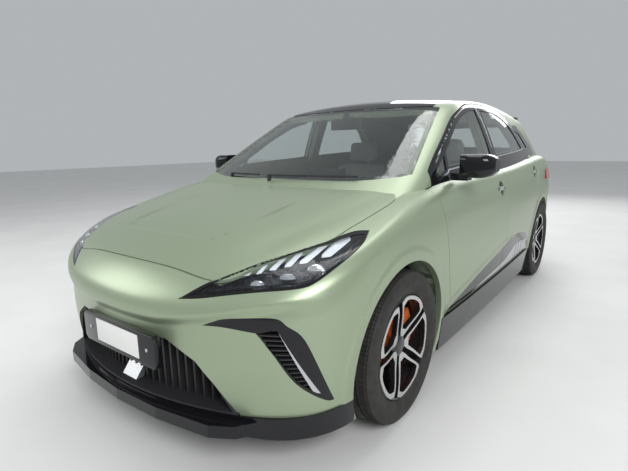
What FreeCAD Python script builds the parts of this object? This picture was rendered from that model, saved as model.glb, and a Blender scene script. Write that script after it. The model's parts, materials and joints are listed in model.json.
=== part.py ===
import FreeCAD, Part
import math
import os
import Sketcher
from FreeCAD import Placement, Rotation, Vector

# A five-door electric hatchback, built at its real size in millimetres.
# +X is the car's left, -Y its front and +Z up. The origin is on the ground under the middle of the car.

doc = FreeCAD.newDocument("hatchback")
sheet = doc.addObject("Spreadsheet::Sheet", "sizes")

# The driving dimensions, one cell each.
SIZES = {
    "car_length": 4287.0,
    "body_width": 1836.0,
    "wheelbase": 2705.0,
    "front_overhang": 835.0,
    "track_width": 1550.0,
    "arch_radius": 378.0,
    "liner_wall": 5.0,
    "tyre_radius": 334.0,
    "disc_radius": 165.0,
    "skin_thick": 30.0,
    "lamp_depth": 40.0,
    "door_wall": 100.0,
    "frame_wall": 42.0,
    "shell_wall": 145.0,
    "rail_wall": 85.0,
    "panel_gap": 5.0,
    "glass_inset": 5.0,
    "glass_thick": 5.0,
    "floor_level": 205.0,
    "floor_thick": 28.0,
    "front_hinge_y": -835.0,
    "rear_hinge_y": 200.0,
    "door_hinge_x": 878.0,
    "seat_offset": 370.0,
    "steering_radius": 182.0,
    "column_tilt": 25.0,
}
for row, (alias, value) in enumerate(SIZES.items(), start=1):
    sheet.set("A%d" % row, alias)
    sheet.set("B%d" % row, repr(value))
    sheet.setAlias("B%d" % row, alias)
doc.recompute()


def size(alias):
    return float(sheet.get(alias))


HALF_LENGTH = size("car_length") / 2
HALF_WIDTH = size("body_width") / 2
NOSE = -HALF_LENGTH
TAIL = HALF_LENGTH
FRONT_AXLE = NOSE + size("front_overhang")
REAR_AXLE = FRONT_AXLE + size("wheelbase")
GAP = size("panel_gap")
WHEEL_X = size("track_width") / 2
TYRE_R = size("tyre_radius")
FAR = 3000.0

# Horizontal slices of the lower body: height, how far the nose and the tail stand back from the car's ends, how far
# the side stands in from its full width, where along the car the side is widest and the radius it bows with.
BODY_SLICES = [
    # height, nose_back, tail_back, side_in, widest_at, side_radius
    (150, 58, 113, 46, 0, 40000),
    (230, 42, 76, 36, 0, 40000),
    (310, 29, 48, 27, 0, 40000),
    (390, 19, 28, 19, 0, 40000),
    (470, 11, 14, 13, 0, 40000),
    (550, 5, 5, 8, 0, 40000),
    (630, 4, 1, 4, 0, 40000),
    (710, 40, 1, 1, 0, 40000),
    (790, 94, 18, 0, 150, 40000),
    (870, 150, 57, 8, 300, 40000),
    (950, 206, 98, 25, 700, 36000),
    (1030, 262, 142, 44, 1000, 18000),
    (1110, 320, 188, 84, 1100, 13000),
]
BODY_RADII = {"nose": 1500, "tail": 1700, "front_corner": 350, "rear_corner": 330}
# The same for the cabin above the waist.
CABIN_SLICES = [
    # height, nose_back, tail_back, side_in, widest_at, side_radius
    (900, 843, 100, 60, 350, 22000),
    (960, 939, 112, 78, 350, 22000),
    (1020, 1040, 142, 98, 350, 22000),
    (1110, 1204, 205, 130, 300, 20000),
    (1200, 1368, 273, 162, 250, 18000),
    (1290, 1532, 342, 198, 250, 16000),
    (1380, 1697, 411, 238, 250, 14000),
    (1470, 1859, 479, 284, 250, 14000),
    (1560, 2023, 553, 333, 250, 14000),
]
CABIN_RADII = {"nose": 2300, "tail": 1900, "front_corner": 170, "rear_corner": 200}
# Crowned tops, as arcs across the car: place along the car, height on the centre line, fall at 750 mm to the side.
DECK_ARCS = [
    (-2300, 600, 130),
    (-2075, 737, 112),
    (-1850, 846, 85),
    (-1500, 927, 55),
    (-1200, 980, 38),
    (-1000, 1015, 34),
    (0, 1062, 34),
    (1000, 1100, 36),
    (1900, 1120, 45),
    (2300, 1100, 60),
]
ROOF_ARCS = [
    (-1400, 1098, 62),
    (-900, 1262, 62),
    (-500, 1390, 62),
    (-320, 1448, 62),
    (0, 1497, 62),
    (350, 1516, 62),
    (900, 1499, 66),
    (1600, 1434, 74),
    (1900, 1397, 78),
    (2300, 1340, 78),
]


def corner_centre(first, first_r, second, second_r, radius, towards):
    """Centre of a corner arc that lies inside two large arcs and touches both."""
    a, b = first_r - radius, second_r - radius
    dx, dy = second[0] - first[0], second[1] - first[1]
    span = math.hypot(dx, dy)
    along = (a * a - b * b + span * span) / (2 * span)
    off = math.sqrt(a * a - along * along)
    foot = (first[0] + along * dx / span, first[1] + along * dy / span)
    found = [
        (foot[0] + off * dy / span, foot[1] - off * dx / span),
        (foot[0] - off * dy / span, foot[1] + off * dx / span),
    ]
    return max(found, key=lambda p: p[0] * towards[0] + p[1] * towards[1])


def on_circle(centre, radius, through):
    reach = math.hypot(through[0] - centre[0], through[1] - centre[1])
    return (
        centre[0] + radius * (through[0] - centre[0]) / reach,
        centre[1] + radius * (through[1] - centre[1]) / reach,
    )


def slice_wire(row, radii, inset):
    """The left half of one horizontal slice: bowed nose, side and tail joined by tangent corner arcs."""
    height, nose_back, tail_back, side_in, widest_at, side_radius = row
    nose, tail = NOSE + nose_back + inset, TAIL - tail_back - inset
    half = HALF_WIDTH - side_in - inset
    nose_r, side_r, tail_r = radii["nose"] - inset, side_radius - inset, radii["tail"] - inset
    front_r, rear_r = radii["front_corner"] - inset, radii["rear_corner"] - inset
    nose_c, side_c, tail_c = (0, nose + nose_r), (half - side_r, widest_at), (0, tail - tail_r)
    front_c = corner_centre(nose_c, nose_r, side_c, side_r, front_r, (1, -1))
    rear_c = corner_centre(tail_c, tail_r, side_c, side_r, rear_r, (1, 1))
    nose_end, side_start = on_circle(nose_c, nose_r, front_c), on_circle(side_c, side_r, front_c)
    side_end, tail_start = on_circle(side_c, side_r, rear_c), on_circle(tail_c, tail_r, rear_c)
    front_mid = on_circle(front_c, front_r, ((nose_end[0] + side_start[0]) / 2, (nose_end[1] + side_start[1]) / 2))
    rear_mid = on_circle(rear_c, rear_r, ((tail_start[0] + side_end[0]) / 2, (tail_start[1] + side_end[1]) / 2))
    nose_mid = on_circle(nose_c, nose_r, (nose_end[0] / 2, (nose_end[1] + nose) / 2))
    tail_mid = on_circle(tail_c, tail_r, (tail_start[0] / 2, (tail_start[1] + tail) / 2))

    def at(p):
        return Vector(p[0], p[1], height)

    edges = [
        Part.Arc(at((0, nose)), at(nose_mid), at(nose_end)),
        Part.Arc(at(nose_end), at(front_mid), at(side_start)),
        Part.Arc(at(side_start), at((half, widest_at)), at(side_end)),
        Part.Arc(at(side_end), at(rear_mid), at(tail_start)),
        Part.Arc(at(tail_start), at(tail_mid), at((0, tail))),
        Part.LineSegment(at((0, tail)), at((0, nose))),
    ]
    return Part.Wire([e.toShape() for e in edges])


def under_arc(row, lower):
    """Everything under one crowned arc across the left half of the car, and a little past the middle."""
    y, middle, fall = row
    reach, past = 1100.0, -50.0

    def on_arc(x):
        return Vector(x, y, middle - lower - fall * (x / 750) ** 2)

    arc = Part.Arc(on_arc(past), on_arc(reach / 2), on_arc(reach)).toShape()
    corners = [on_arc(reach), Vector(reach, y, 0), Vector(past, y, 0), on_arc(past)]
    return Part.Wire([arc] + [Part.LineSegment(p, q).toShape() for p, q in zip(corners, corners[1:])])


FORMS = {
    "lower": (BODY_SLICES, BODY_RADII, DECK_ARCS),
    "cabin": (CABIN_SLICES, CABIN_RADII, ROOF_ARCS),
}
made_bodies = {}


def half_body(kind, inset, lower):
    """The left half of the lower body or the cabin, set in from its skin."""
    if (kind, inset, lower) not in made_bodies:
        slices, radii, arcs = FORMS[kind]
        sides = Part.makeLoft([slice_wire(r, radii, inset) for r in slices], True, False)
        top = Part.makeLoft([under_arc(r, lower) for r in arcs], True, False)
        made_bodies[kind, inset, lower] = sides.common(top)
    return made_bodies[kind, inset, lower]


def lower_body(inset, lower):
    return half_body("lower", inset, lower)


def cabin_body(inset, lower):
    return half_body("cabin", inset, lower)


def box(x0, x1, y0, y1, z0, z1):
    return Part.makeBox(x1 - x0, y1 - y0, z1 - z0, Vector(x0, y0, z0))


def outline_wire(points):
    """A closed wire through points; a point (a, b, c, 'arc') is passed by an arc to the next one."""
    edges = []
    k, count = 0, len(points)
    while k < count:
        p, q = points[k], points[(k + 1) % count]
        if len(q) == 4:
            r = points[(k + 2) % count]
            edges.append(Part.Arc(Vector(*p[:3]), Vector(*q[:3]), Vector(*r[:3])).toShape())
            k += 2
        else:
            edges.append(Part.LineSegment(Vector(*p[:3]), Vector(*q[:3])).toShape())
            k += 1
    return Part.Wire(edges)


def skin_x(z):
    """Roughly how far out the side stands at a height."""
    rows = [(150, 872), (330, 893), (610, 912), (735, 918), (860, 905), (960, 874), (1030, 825), (1200, 756)]
    rows += [(1350, 694), (1450, 645), (1560, 585)]
    for (z0, x0), (z1, x1) in zip(rows, rows[1:]):
        if z <= z1:
            return x0 + (x1 - x0) * (z - z0) / (z1 - z0)
    return rows[-1][1]


def side_prism(points, x0, x1, slant=0.0):
    """A side-view outline of (along, height) points pushed across the car; slant leans it back as it goes out, about
    the place where it meets the skin."""
    wire = outline_wire([(x0, p[0] - slant * (skin_x(p[1]) - x0), p[1]) for p in points])
    return Part.Face(wire).extrude(Vector(x1 - x0, slant * (x1 - x0), 0))


def top_prism(points, z0, z1):
    return Part.Face(outline_wire([(p[0], p[1], z0) + tuple(p[2:]) for p in points])).extrude(Vector(0, 0, z1 - z0))


def front_prism(points, y0, y1):
    return Part.Face(outline_wire([(p[0], y0, p[1]) + tuple(p[2:]) for p in points])).extrude(Vector(0, y1 - y0, 0))


def grown(points, by):
    """A closed outline of straight edges moved outwards by a distance, or inwards if it is negative."""
    area = sum(p[0] * q[1] - q[0] * p[1] for p, q in zip(points, points[1:] + points[:1]))
    turn = 1 if area > 0 else -1
    made = []
    for k, p in enumerate(points):
        a, b = points[k - 1], points[(k + 1) % len(points)]
        d1, d2 = (p[0] - a[0], p[1] - a[1]), (b[0] - p[0], b[1] - p[1])
        l1, l2 = math.hypot(*d1), math.hypot(*d2)
        n1, n2 = (turn * d1[1] / l1, -turn * d1[0] / l1), (turn * d2[1] / l2, -turn * d2[0] / l2)
        share = 1 + n1[0] * n2[0] + n1[1] * n2[1]
        made.append((p[0] + by * (n1[0] + n2[0]) / share, p[1] + by * (n1[1] + n2[1]) / share))
    return made


def mirrored(points):
    return points + [(-p[0],) + tuple(p[1:]) for p in reversed(points) if abs(p[0]) > 1e-9]


def across(shape):
    """The same shape on the other side of the car."""
    return shape.mirror(Vector(0, 0, 0), Vector(1, 0, 0))


def both(shape):
    return Part.makeCompound([shape, across(shape)])


def doubled(half):
    """A solid of the left half, cut at the middle of the car, made whole with its mirror image."""
    faces = []
    for face in half.Faces:
        bounds = face.BoundBox
        if abs(face.CenterOfMass.x) > 0.01 or bounds.XLength > 1:
            faces.append(face)
    sewn = Part.makeCompound(faces + [across(f) for f in faces])
    sewn.sewShape()
    solid = Part.Solid(Part.Shell(sewn.Faces))
    if solid.Volume < 0:
        solid.reverse()
    return solid


def biggest(shape):
    """The main solid of a cut, without slivers."""
    return max(shape.Solids, key=lambda s: s.Volume)


def kept(shape, least):
    """The solids of a cut that are larger than a volume in cubic millimetres."""
    return Part.makeCompound([s for s in shape.Solids if s.Volume > least])


nodes = []


def feature(label, shape):
    made = doc.addObject("Part::Feature", label)
    made.Label = label
    made.Shape = shape
    nodes.append(made)
    return made


# Outlines of the side view, as (along, height), left side.
FRONT_DOOR = [
    (-818, 335),
    (-812, 402),
    (-886, 683),
    (-922, 826),
    (-932, 900),
    (-928, 975),
    (-868, 983),
    (-838, 1050),
    (-800, 1075),
    (-679, 1147),
    (-438, 1284),
    (-265, 1366),
    (-42, 1427),
    (150, 1446),
    (160, 1110),
    (172, 700),
    (166, 335),
]
REAR_DOOR = [
    (166 + GAP, 335),
    (172 + GAP, 700),
    (160 + GAP, 1110),
    (150 + GAP, 1446),
    (515, 1444),
    (700, 1418),
    (860, 1368),
    (1010, 1262),
    (1140, 1120),
    (1175, 1000),
    (1130, 830),
    (1040, 690),
    (975, 540),
    (955, 335),
]
FRONT_GLASS = [
    (-600, 1152),
    (-420, 1252),
    (-250, 1331),
    (-40, 1387),
    (100, 1404),
    (112, 1104),
    (-628, 1066),
]
FRONT_PANE = [
    (-812, 1040),
    (-640, 1131),
    (-664, 1054),
    (-795, 1019),
]
REAR_GLASS = [
    (226, 1110),
    (216, 1406),
    (505, 1403),
    (690, 1377),
    (830, 1330),
    (960, 1236),
    (1050, 1142),
]
QUARTER_GLASS = [
    (1030, 1285),
    (1170, 1140),
    (1300, 1150),
    (1160, 1268),
]
# Outlines seen from above, as (across, along), left half.
HOOD_EDGE = [
    (0, -2022),
    (250, -2010),
    (497, -1978),
    (600, -1850),
    (706, -1650),
    (722, -1500),
    (735, -1350),
    (742, -1200),
    (722, -1120),
    (660, -1088),
    (400, -1155),
    (0, -1185),
]
ROOF_EDGE = [(0, -366), (300, -352), (548, -300), (556, 0), (545, 800), (512, 1600), (0, 1612)]
# Outline of the tailgate seen from behind, as (across, height), left half.
TAILGATE_EDGE = [(0, 1500), (520, 1500), (560, 1330), (690, 1060), (700, 960), (600, 720), (560, 648), (0, 648)]
TAILGATE_GLASS = [(0, 1378), (455, 1360), (500, 1290), (582, 1140), (560, 1125), (0, 1125)]

ARCH_R = size("arch_radius")


def arch_cylinder(axle, radius, x0=430.0, x1=1000.0):
    one = Part.makeCylinder(radius, x1 - x0, Vector(x0, axle, TYRE_R), Vector(1, 0, 0))
    return one


DOOR = size("door_wall")
FRAME = size("frame_wall")
WALL = size("shell_wall")
SKIN = size("skin_thick")
LAMP_DEEP = size("lamp_depth")
RAIL = size("rail_wall")
BULKHEAD = -1000.0

# The left half of the outer volume, and of the volumes inside each depth of wall.
lower_outer = lower_body(0, 0)
cabin_outer = cabin_body(0, 0)
outer = lower_outer.fuse(cabin_outer)
under_skin = lower_body(SKIN, SKIN)
under_lamp = lower_body(LAMP_DEEP, LAMP_DEEP)
rebate_inner = lower_body(DOOR + GAP, 0).fuse(cabin_body(FRAME + GAP, FRAME + GAP))
door_inner = lower_body(DOOR, 0).fuse(cabin_body(FRAME, FRAME))
well = lower_body(WALL, 0).common(box(-FAR, FAR, BULKHEAD + 75, 1900, 100, FAR))
cabin_space = well.fuse(cabin_body(RAIL, 55))
glass_outer = cabin_body(size("glass_inset"), size("glass_inset"))
glass_inner = cabin_body(size("glass_inset") + size("glass_thick"), size("glass_inset") + size("glass_thick"))
arches = [arch_cylinder(axle, ARCH_R) for axle in (FRONT_AXLE, REAR_AXLE)]
wide_arches = [arch_cylinder(axle, ARCH_R + size("liner_wall"), 424.0) for axle in (FRONT_AXLE, REAR_AXLE)]

DOOR_SLANT = 0.3
# Each door's handle: a blade flush with the skin over a round dish for the fingers.
HANDLES = {"front": (20.0, 905.0), "rear": (1010.0, 958.0)}
HANDLE_REACH = 98.0
HANDLE_RISE = 14.0
DISH_RADIUS = 46.0
DISH_DEEP = 38.0
HANDLE_THICK = 14.0
LAMP_TURN = 35.0


def hinge_nose(hinge_y, edge, clearance):
    """The round nose that a door's front edge turns in: radii about the hinge line that just hold the outline."""
    hinge_x = size("door_hinge_x")
    profile = []
    for y, z in edge:
        ahead = max(hinge_y - y, 12.0)
        profile.append((math.hypot(ahead, 40.0) + clearance, z))
    points = [Vector(0, 0, profile[0][1])] + [Vector(r, 0, z) for r, z in profile] + [Vector(0, 0, profile[-1][1])]
    face = Part.Face(Part.makePolygon(points + [points[0]]))
    solid = face.revolve(Vector(0, 0, 0), Vector(0, 0, 1), 360)
    solid.translate(Vector(hinge_x, hinge_y, 0))
    return solid


FRONT_HINGE_Y = size("front_hinge_y")
REAR_HINGE_Y = size("rear_hinge_y")
HINGE_X = size("door_hinge_x")
FRONT_NOSE_EDGE = [(-818, 300), (-812, 402), (-886, 683), (-922, 826), (-932, 900), (-928, 985)]
REAR_NOSE_EDGE = [(171, 300), (177, 700), (165, 1075)]
HINGE_LEVELS = [450.0, 790.0]
PIN_R = 9.0
EYE_R = 11.0
PIN_PLAY = 0.3


def hinge_notch(hinge_y, level):
    """The slot in a door that its hinge's leaf turns in."""
    disc = Part.makeCylinder(125, 26, Vector(HINGE_X, hinge_y, level - 13))
    return disc.common(box(600, HINGE_X + 12, hinge_y - 200, hinge_y + 22, 0, FAR))


def hinge_bore(hinge_y, level):
    return Part.makeCylinder(PIN_R + PIN_PLAY, 70, Vector(HINGE_X, hinge_y, level - 35))


def hinge_leaf(hinge_y, level):
    """A hinge's fixed leaf and its pin."""
    leaf = box(HINGE_X - 118, HINGE_X, hinge_y - EYE_R, hinge_y + EYE_R, level - 7, level + 7)
    leaf = leaf.fuse(Part.makeCylinder(EYE_R, 14, Vector(HINGE_X, hinge_y, level - 7)))
    return leaf.fuse(Part.makeCylinder(PIN_R, 64, Vector(HINGE_X, hinge_y, level - 32)))


def nose_cutter(hinge_y, edge, clearance):
    """What stands ahead of a hinge line outside its round nose."""
    top = edge[-1][1]
    return box(400, 1100, -FAR, hinge_y, 0, top).cut(hinge_nose(hinge_y, edge, clearance))


DISH_FLOOR = lower_body(DISH_DEEP, 0)
HANDLE_BACK = lower_body(HANDLE_THICK, 0)


def handle_cut(shape, at):
    """A door with the dish of its handle sunk in and the blade laid across it."""
    y, z = at
    dish = Part.makeCylinder(DISH_RADIUS, 400, Vector(700, y, z), Vector(1, 0, 0)).cut(DISH_FLOOR)
    outline = [(y - HANDLE_REACH, z - HANDLE_RISE), (y - HANDLE_REACH, z + HANDLE_RISE)]
    outline += [(y + HANDLE_REACH, z + HANDLE_RISE), (y + HANDLE_REACH, z - HANDLE_RISE)]
    blade = side_prism(outline, 700, 1100).common(lower_outer).cut(HANDLE_BACK)
    return shape.cut(dish).fuse(blade)


def door_shape(outline, hinge_y, nose_edge, panes):
    shape = side_prism(outline, 590, 1100, DOOR_SLANT).common(outer).cut(door_inner)
    shape = shape.cut(nose_cutter(hinge_y, nose_edge, 0))
    for pane in panes:
        shape = shape.cut(side_prism(pane, 400, 1100))
    for level in HINGE_LEVELS:
        shape = shape.cut(hinge_notch(hinge_y, level)).cut(hinge_bore(hinge_y, level))
    return biggest(shape)


def door_recess(outline, hinge_y, nose_edge):
    """What a door needs cleared: its own volume and a gap all round."""
    recess = side_prism(grown(outline, GAP), 585, 1100, DOOR_SLANT).cut(nose_cutter(hinge_y, nose_edge, GAP))
    return recess.fuse(turning_room(hinge_y, nose_edge))


def turning_room(hinge_y, nose_edge):
    """The round room that a door's nose turns in."""
    return hinge_nose(hinge_y, nose_edge, GAP).common(box(400, 1100, -FAR, hinge_y + 60, 335 - GAP, 985))


def swing_room(hinge_y, corners, area):
    """The round room that the inner front corner of a window frame sweeps in an area of the side view."""
    profile = [(math.hypot(HINGE_X - x, hinge_y - y) + GAP, z) for x, y, z in corners]
    points = [Vector(0, 0, profile[0][1])] + [Vector(r, 0, z) for r, z in profile] + [Vector(0, 0, profile[-1][1])]
    face = Part.Face(Part.makePolygon(points + [points[0]]))
    room = face.revolve(Vector(0, 0, 0), Vector(0, 0, 1), 360)
    room.translate(Vector(HINGE_X, hinge_y, 0))
    return room.common(side_prism(area, 400, HINGE_X - 60, DOOR_SLANT))


# Inner front corners of the window frames, as (x, y, z).
FRONT_SASH = [
    (753, -900, 980),
    (745, -891, 1000),
    (735, -883, 1020),
    (726, -880, 1035),
    (710, -874, 1050),
    (701, -852, 1065),
    (695, -828, 1080),
    (685, -797, 1100),
    (681, -765, 1125),
]
REAR_SASH = [(757, 151, 1070), (749, 151, 1100), (714, 150, 1200), (673, 148, 1300), (633, 145, 1390)]
REAR_SASH += [(588, 136, 1425), (580, 134, 1448)]
FRONT_SWING = [(-873, 979), (-843, 1052), (-805, 1080), (-690, 1148), (-690, 979)]
REAR_SWING = [(110, 1070), (110, 1448), (345, 1448), (345, 1070)]


front_door = door_shape(FRONT_DOOR, FRONT_HINGE_Y, FRONT_NOSE_EDGE, [FRONT_GLASS, FRONT_PANE])
rear_door = door_shape(REAR_DOOR, REAR_HINGE_Y, REAR_NOSE_EDGE, [REAR_GLASS])
front_door = front_door.cut(hinge_nose(REAR_HINGE_Y, REAR_NOSE_EDGE, GAP))
front_door = biggest(handle_cut(front_door, HANDLES["front"]))
rear_door = biggest(handle_cut(rear_door, HANDLES["rear"]))


def lamp_prism(points, depth=420.0):
    """An outline of points in space, seen square to a direction turned from the front, pushed through the skin."""
    turn = math.radians(LAMP_TURN)
    out = Vector(math.sin(turn), -math.cos(turn), 0)
    wire = []
    for p in points:
        v = Vector(*p)
        wire.append(v + out * (1800 - v.dot(out)))
    face = Part.Face(Part.makePolygon([v + out * depth for v in wire] + [wire[0] + out * depth]))
    return face.extrude(out * (-2 * depth))


HEADLAMP = [
    (389, -2068, 678),
    (447, -2029, 715),
    (497, -1980, 744),
    (580, -1866, 788),
    (663, -1744, 821),
    (722, -1639, 842),
    (767, -1538, 860),
    (812, -1511, 862),
    (835, -1599, 833),
    (830, -1764, 778),
    (795, -1831, 742),
    (762, -1870, 728),
    (652, -1945, 720),
    (559, -1994, 706),
    (458, -2040, 688),
]
CORNER_VENT = [
    (466, -2047, 589),
    (510, -2034, 608),
    (550, -2020, 622),
    (635, -1976, 630),
    (713, -1936, 632),
    (744, -1919, 608),
    (781, -1889, 571),
    (805, -1854, 486),
    (827, -1770, 300),
    (812, -1805, 309),
    (756, -1894, 392),
    (705, -1943, 497),
    (662, -1964, 559),
    (649, -1971, 578),
    (545, -2018, 590),
]
VENT_HOLE = [
    (657, -1968, 574),
    (712, -1938, 588),
    (738, -1926, 588),
    (810, -1826, 340),
    (797, -1846, 345),
    (758, -1890, 398),
    (709, -1938, 497),
]
BUMPER_SEAM = [(-2300, 100), (-2300, 900), (-1700, 858), (-1650, 818), (-1470, 722), (-1470, 500), (-1600, 100)]
FENDER_SEAM = [(-1700, 858), (-1650, 818), (-1470, 722), (-1470, 500), (-1600, 100), (-780, 100), (-780, 1060)]
FENDER_SEAM += [(-1700, 1060)]
REAR_SEAM = [(1690, 100), (1740, 480), (1800, 640), (2300, 640), (2300, 100)]
PLATE_X = 60.0
SPLITTER_TOP = [(-2300, 238), (-1750, 262), (-1660, 262), (-1660, 100), (-2300, 100)]
GRILLE = [(300, 512), (425, 446), (486, 373), (540, 290), (563, 253)]
GRILLE += [(-p[0], p[1]) for p in reversed(GRILLE)]
WINDSHIELD = [(0, -1112), (400, -1080), (640, -995), (716, -935), (686, -783), (640, -555), (592, -300)]
WINDSHIELD += [(548, -300), (300, -352), (0, -366)]
LAMP_BAND = [(490, 928), (700, 955), (1000, 955), (1000, 868), (700, 868), (490, 892)]
LIP = [(0, -2136), (250, -2122), (500, -2080), (585, -2030), (640, -1950), (600, -1930)]
LIP += [(480, -1985), (0, -2040)]
BAND_MIDDLE = [(0, 925), (500, 925), (500, 895), (0, 895)]

# Tools that take each panel out of the skin: a prism on its outline, down to the depth of the panel.
hood_area = mirrored(HOOD_EDGE)
hood_tool = top_prism(hood_area, 640, 1200).common(box(0, 900, -FAR, BULKHEAD, 640, FAR)).cut(under_skin)
hood_cut = top_prism(grown(hood_area, GAP), 500, 1200)
lamp_block = lamp_prism(HEADLAMP).common(box(0, FAR, -FAR, -1400, 0, FAR))
lamp_tool = lamp_block.cut([lower_body(60, 60), hood_cut])
vent_tool = lamp_prism(CORNER_VENT).common(box(300, FAR, -FAR, -1700, 0, FAR)).cut(under_lamp)
grille_cut = front_prism(GRILLE, -FAR, -1500)
plate_room = box(PLATE_X - 262, PLATE_X + 262, -2141, -2111, 408, 532)
lip_room = box(0, 566, -2200, -1940, 100, 253.5)
splitter_tool = side_prism(SPLITTER_TOP, 0, 1000).common(box(0, 1000, -FAR, -1660, 160, FAR))
splitter_tool = splitter_tool.cut([under_skin, arches[0]])

hood = biggest(lower_outer.common(hood_tool))
headlamp = biggest(lower_outer.common(lamp_tool))
vent = biggest(lower_outer.common(vent_tool))
slots = Part.makeCompound([box(500, 900, -2100, -1700, 340 + 18 * k, 353 + 18 * k) for k in range(14)])
vent = biggest(vent.cut(lamp_prism(VENT_HOLE).common(slots)))
bumper_tool = side_prism(BUMPER_SEAM, 0, 1000).cut([under_skin, arches[0], side_prism(SPLITTER_TOP, 0, 1000)])
bumper = lower_outer.common(bumper_tool).cut([hood_cut, lamp_block, vent_tool, grille_cut, lip_room])
bumper = biggest(doubled(biggest(bumper)).cut(plate_room))
lip = top_prism(LIP, 188, 236)
splitter = doubled(biggest(lower_outer.common(splitter_tool).fuse(lip)))


def bowed_band(front, thick, half, radius, z0, z1):
    """A slab bowed forward in plan, as an arc of a radius, from z0 to z1."""
    back = front + thick
    fall = radius - math.sqrt(radius * radius - half * half)
    outer_arc = Part.Arc(Vector(-half, front + fall, z0), Vector(0, front, z0), Vector(half, front + fall, z0))
    inner_arc = Part.Arc(Vector(half, back + fall, z0), Vector(0, back, z0), Vector(-half, back + fall, z0))
    ends = [Part.LineSegment(Vector(x, front + fall, z0), Vector(x, back + fall, z0)) for x in (half, -half)]
    wire = Part.Wire([outer_arc.toShape(), ends[0].toShape(), inner_arc.toShape(), ends[1].toShape()])
    return Part.Face(wire).extrude(Vector(0, 0, z1 - z0))


# The grille: a bowed back, a deep rim round the opening and upright slats set back behind a ledge.
GRILLE_BOW = 1500.0
GRILLE_RIM = 9.0
SLAT_FRONT = -2041.0


def grille_top(x):
    """How high the opening stands over a place across the car."""
    for (x0, z0), (x1, z1) in zip(GRILLE[:5], GRILLE[1:5]):
        if x <= x1:
            return z0 + (z1 - z0) * max(0.0, x - x0) / (x1 - x0)
    return GRILLE[4][1]


grille = bowed_band(SLAT_FRONT + 41, 12, 600, GRILLE_BOW, 240, 520).common(front_prism(GRILLE, -FAR, -1500))
rim_area = front_prism(GRILLE, -FAR, -1500).cut(front_prism(grown(GRILLE, -GRILLE_RIM), -FAR, -1500))
grille = grille.fuse(bowed_band(-2104, 116, 600, GRILLE_BOW, 240, 520).common(rim_area))
slats = []
for k in range(-13, 14):
    x = 38.0 * k
    front = SLAT_FRONT + GRILLE_BOW - math.sqrt(GRILLE_BOW**2 - x * x)
    slats.append(box(x - 6, x + 6, front, front + 47, 258, grille_top(abs(x) + 6) - 3))
grille = biggest(grille.fuse(slats))

# The fenders reach from the bumper to the doors and wrap the front wheels.
door_room = door_recess(FRONT_DOOR, FRONT_HINGE_Y, FRONT_NOSE_EDGE)
rear_room = door_recess(REAR_DOOR, REAR_HINGE_Y, REAR_NOSE_EDGE)
off_fender = [
    box(0, 1000, -932, -700, 985, FAR),
    box(0, 738, -1125, -700, 600, FAR),
    box(0, 1000, -900, -700, 100, 330),
]
fender_tool = side_prism(FENDER_SEAM, 560, 1000)
fender_tool = fender_tool.cut([under_skin, hood_cut, lamp_block, door_room, arches[0]] + off_fender)
fender = biggest(lower_outer.common(fender_tool))

# Glass and roof. The roof's rear edge clears the round nose that the tailgate turns on.
GATE_Y, GATE_Z, GATE_NOSE = 1640.0, 1390.0, 52.0
gate_turn = Part.makeCylinder(GATE_NOSE + GAP, 1200, Vector(-600, GATE_Y, GATE_Z), Vector(1, 0, 0))
windshield_tool = top_prism(mirrored(WINDSHIELD), 960, 1600).cut(glass_inner)
windshield = doubled(biggest(glass_outer.common(windshield_tool)))
roof_tool = top_prism(mirrored(ROOF_EDGE), 1300, 1700).cut([cabin_body(25, 25), gate_turn])
roof = doubled(biggest(cabin_outer.common(roof_tool)))
pane_outlines = (FRONT_GLASS, FRONT_PANE, REAR_GLASS, QUARTER_GLASS)
side_panes = [side_prism(p, 590, 1100).cut(glass_inner) for p in pane_outlines]
panes = [biggest(glass_outer.common(p)) for p in side_panes]
front_panes = Part.makeCompound(panes[:2])

# The tail: a gate hinged at the roof, its glass, the lamps and the bumper.
gate_area = front_prism(mirrored(TAILGATE_EDGE), GATE_Y, FAR)
gate_room = front_prism(grown(mirrored(TAILGATE_EDGE), GAP), GATE_Y, FAR)
gate_nose = Part.makeCylinder(GATE_NOSE, 520, Vector(0, GATE_Y, GATE_Z), Vector(1, 0, 0))
nose_room = Part.makeCylinder(GATE_NOSE + GAP, 525, Vector(0, GATE_Y, GATE_Z), Vector(1, 0, 0))
gate_window = front_prism(mirrored(TAILGATE_GLASS), GATE_Y, FAR)
lamp_band = front_prism(LAMP_BAND, 1500, FAR).fuse(front_prism(BAND_MIDDLE, 1500, FAR)).cut(under_lamp)
gate_depth = lower_body(60, 60).fuse(cabin_body(42, 42))
gate = outer.common(gate_area.common(box(0, 1000, GATE_Y, FAR, 600, FAR)).cut(gate_depth))
gate = gate.fuse(gate_nose.common(outer)).cut([gate_window, lamp_band])
gate_lamp = doubled(biggest(lower_outer.common(lamp_band.common(gate_area))))
tail_lamp_tool = lamp_band.cut(gate_room)
tail_lamp = biggest(lower_outer.common(tail_lamp_tool))
tail_glass = doubled(biggest(glass_outer.common(gate_window.cut(glass_inner))))
rear_bumper_tool = side_prism(REAR_SEAM, 0, 1000).cut([under_lamp, arches[1]])
rear_bumper = doubled(biggest(lower_outer.common(rear_bumper_tool)))
GATE_HINGE_X = 300.0
notch = Part.makeCylinder(70, 26, Vector(GATE_HINGE_X - 13, GATE_Y, GATE_Z), Vector(1, 0, 0))
notch = notch.cut(box(0, 600, GATE_Y + 14, FAR, 0, FAR))
bore = Part.makeCylinder(PIN_R + PIN_PLAY, 70, Vector(GATE_HINGE_X - 35, GATE_Y, GATE_Z), Vector(1, 0, 0))
gate_rim = gate_area.cut(front_prism(grown(mirrored(TAILGATE_EDGE), -16), GATE_Y, FAR))
gate_rim = gate_rim.common(box(0, 1000, GATE_Y, FAR, 1040, 1320)).common(cabin_body(14, 14))
gate_corner = box(520, 600, GATE_Y - 5, GATE_Y + 6, GATE_Z - 5, 1500)
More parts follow.
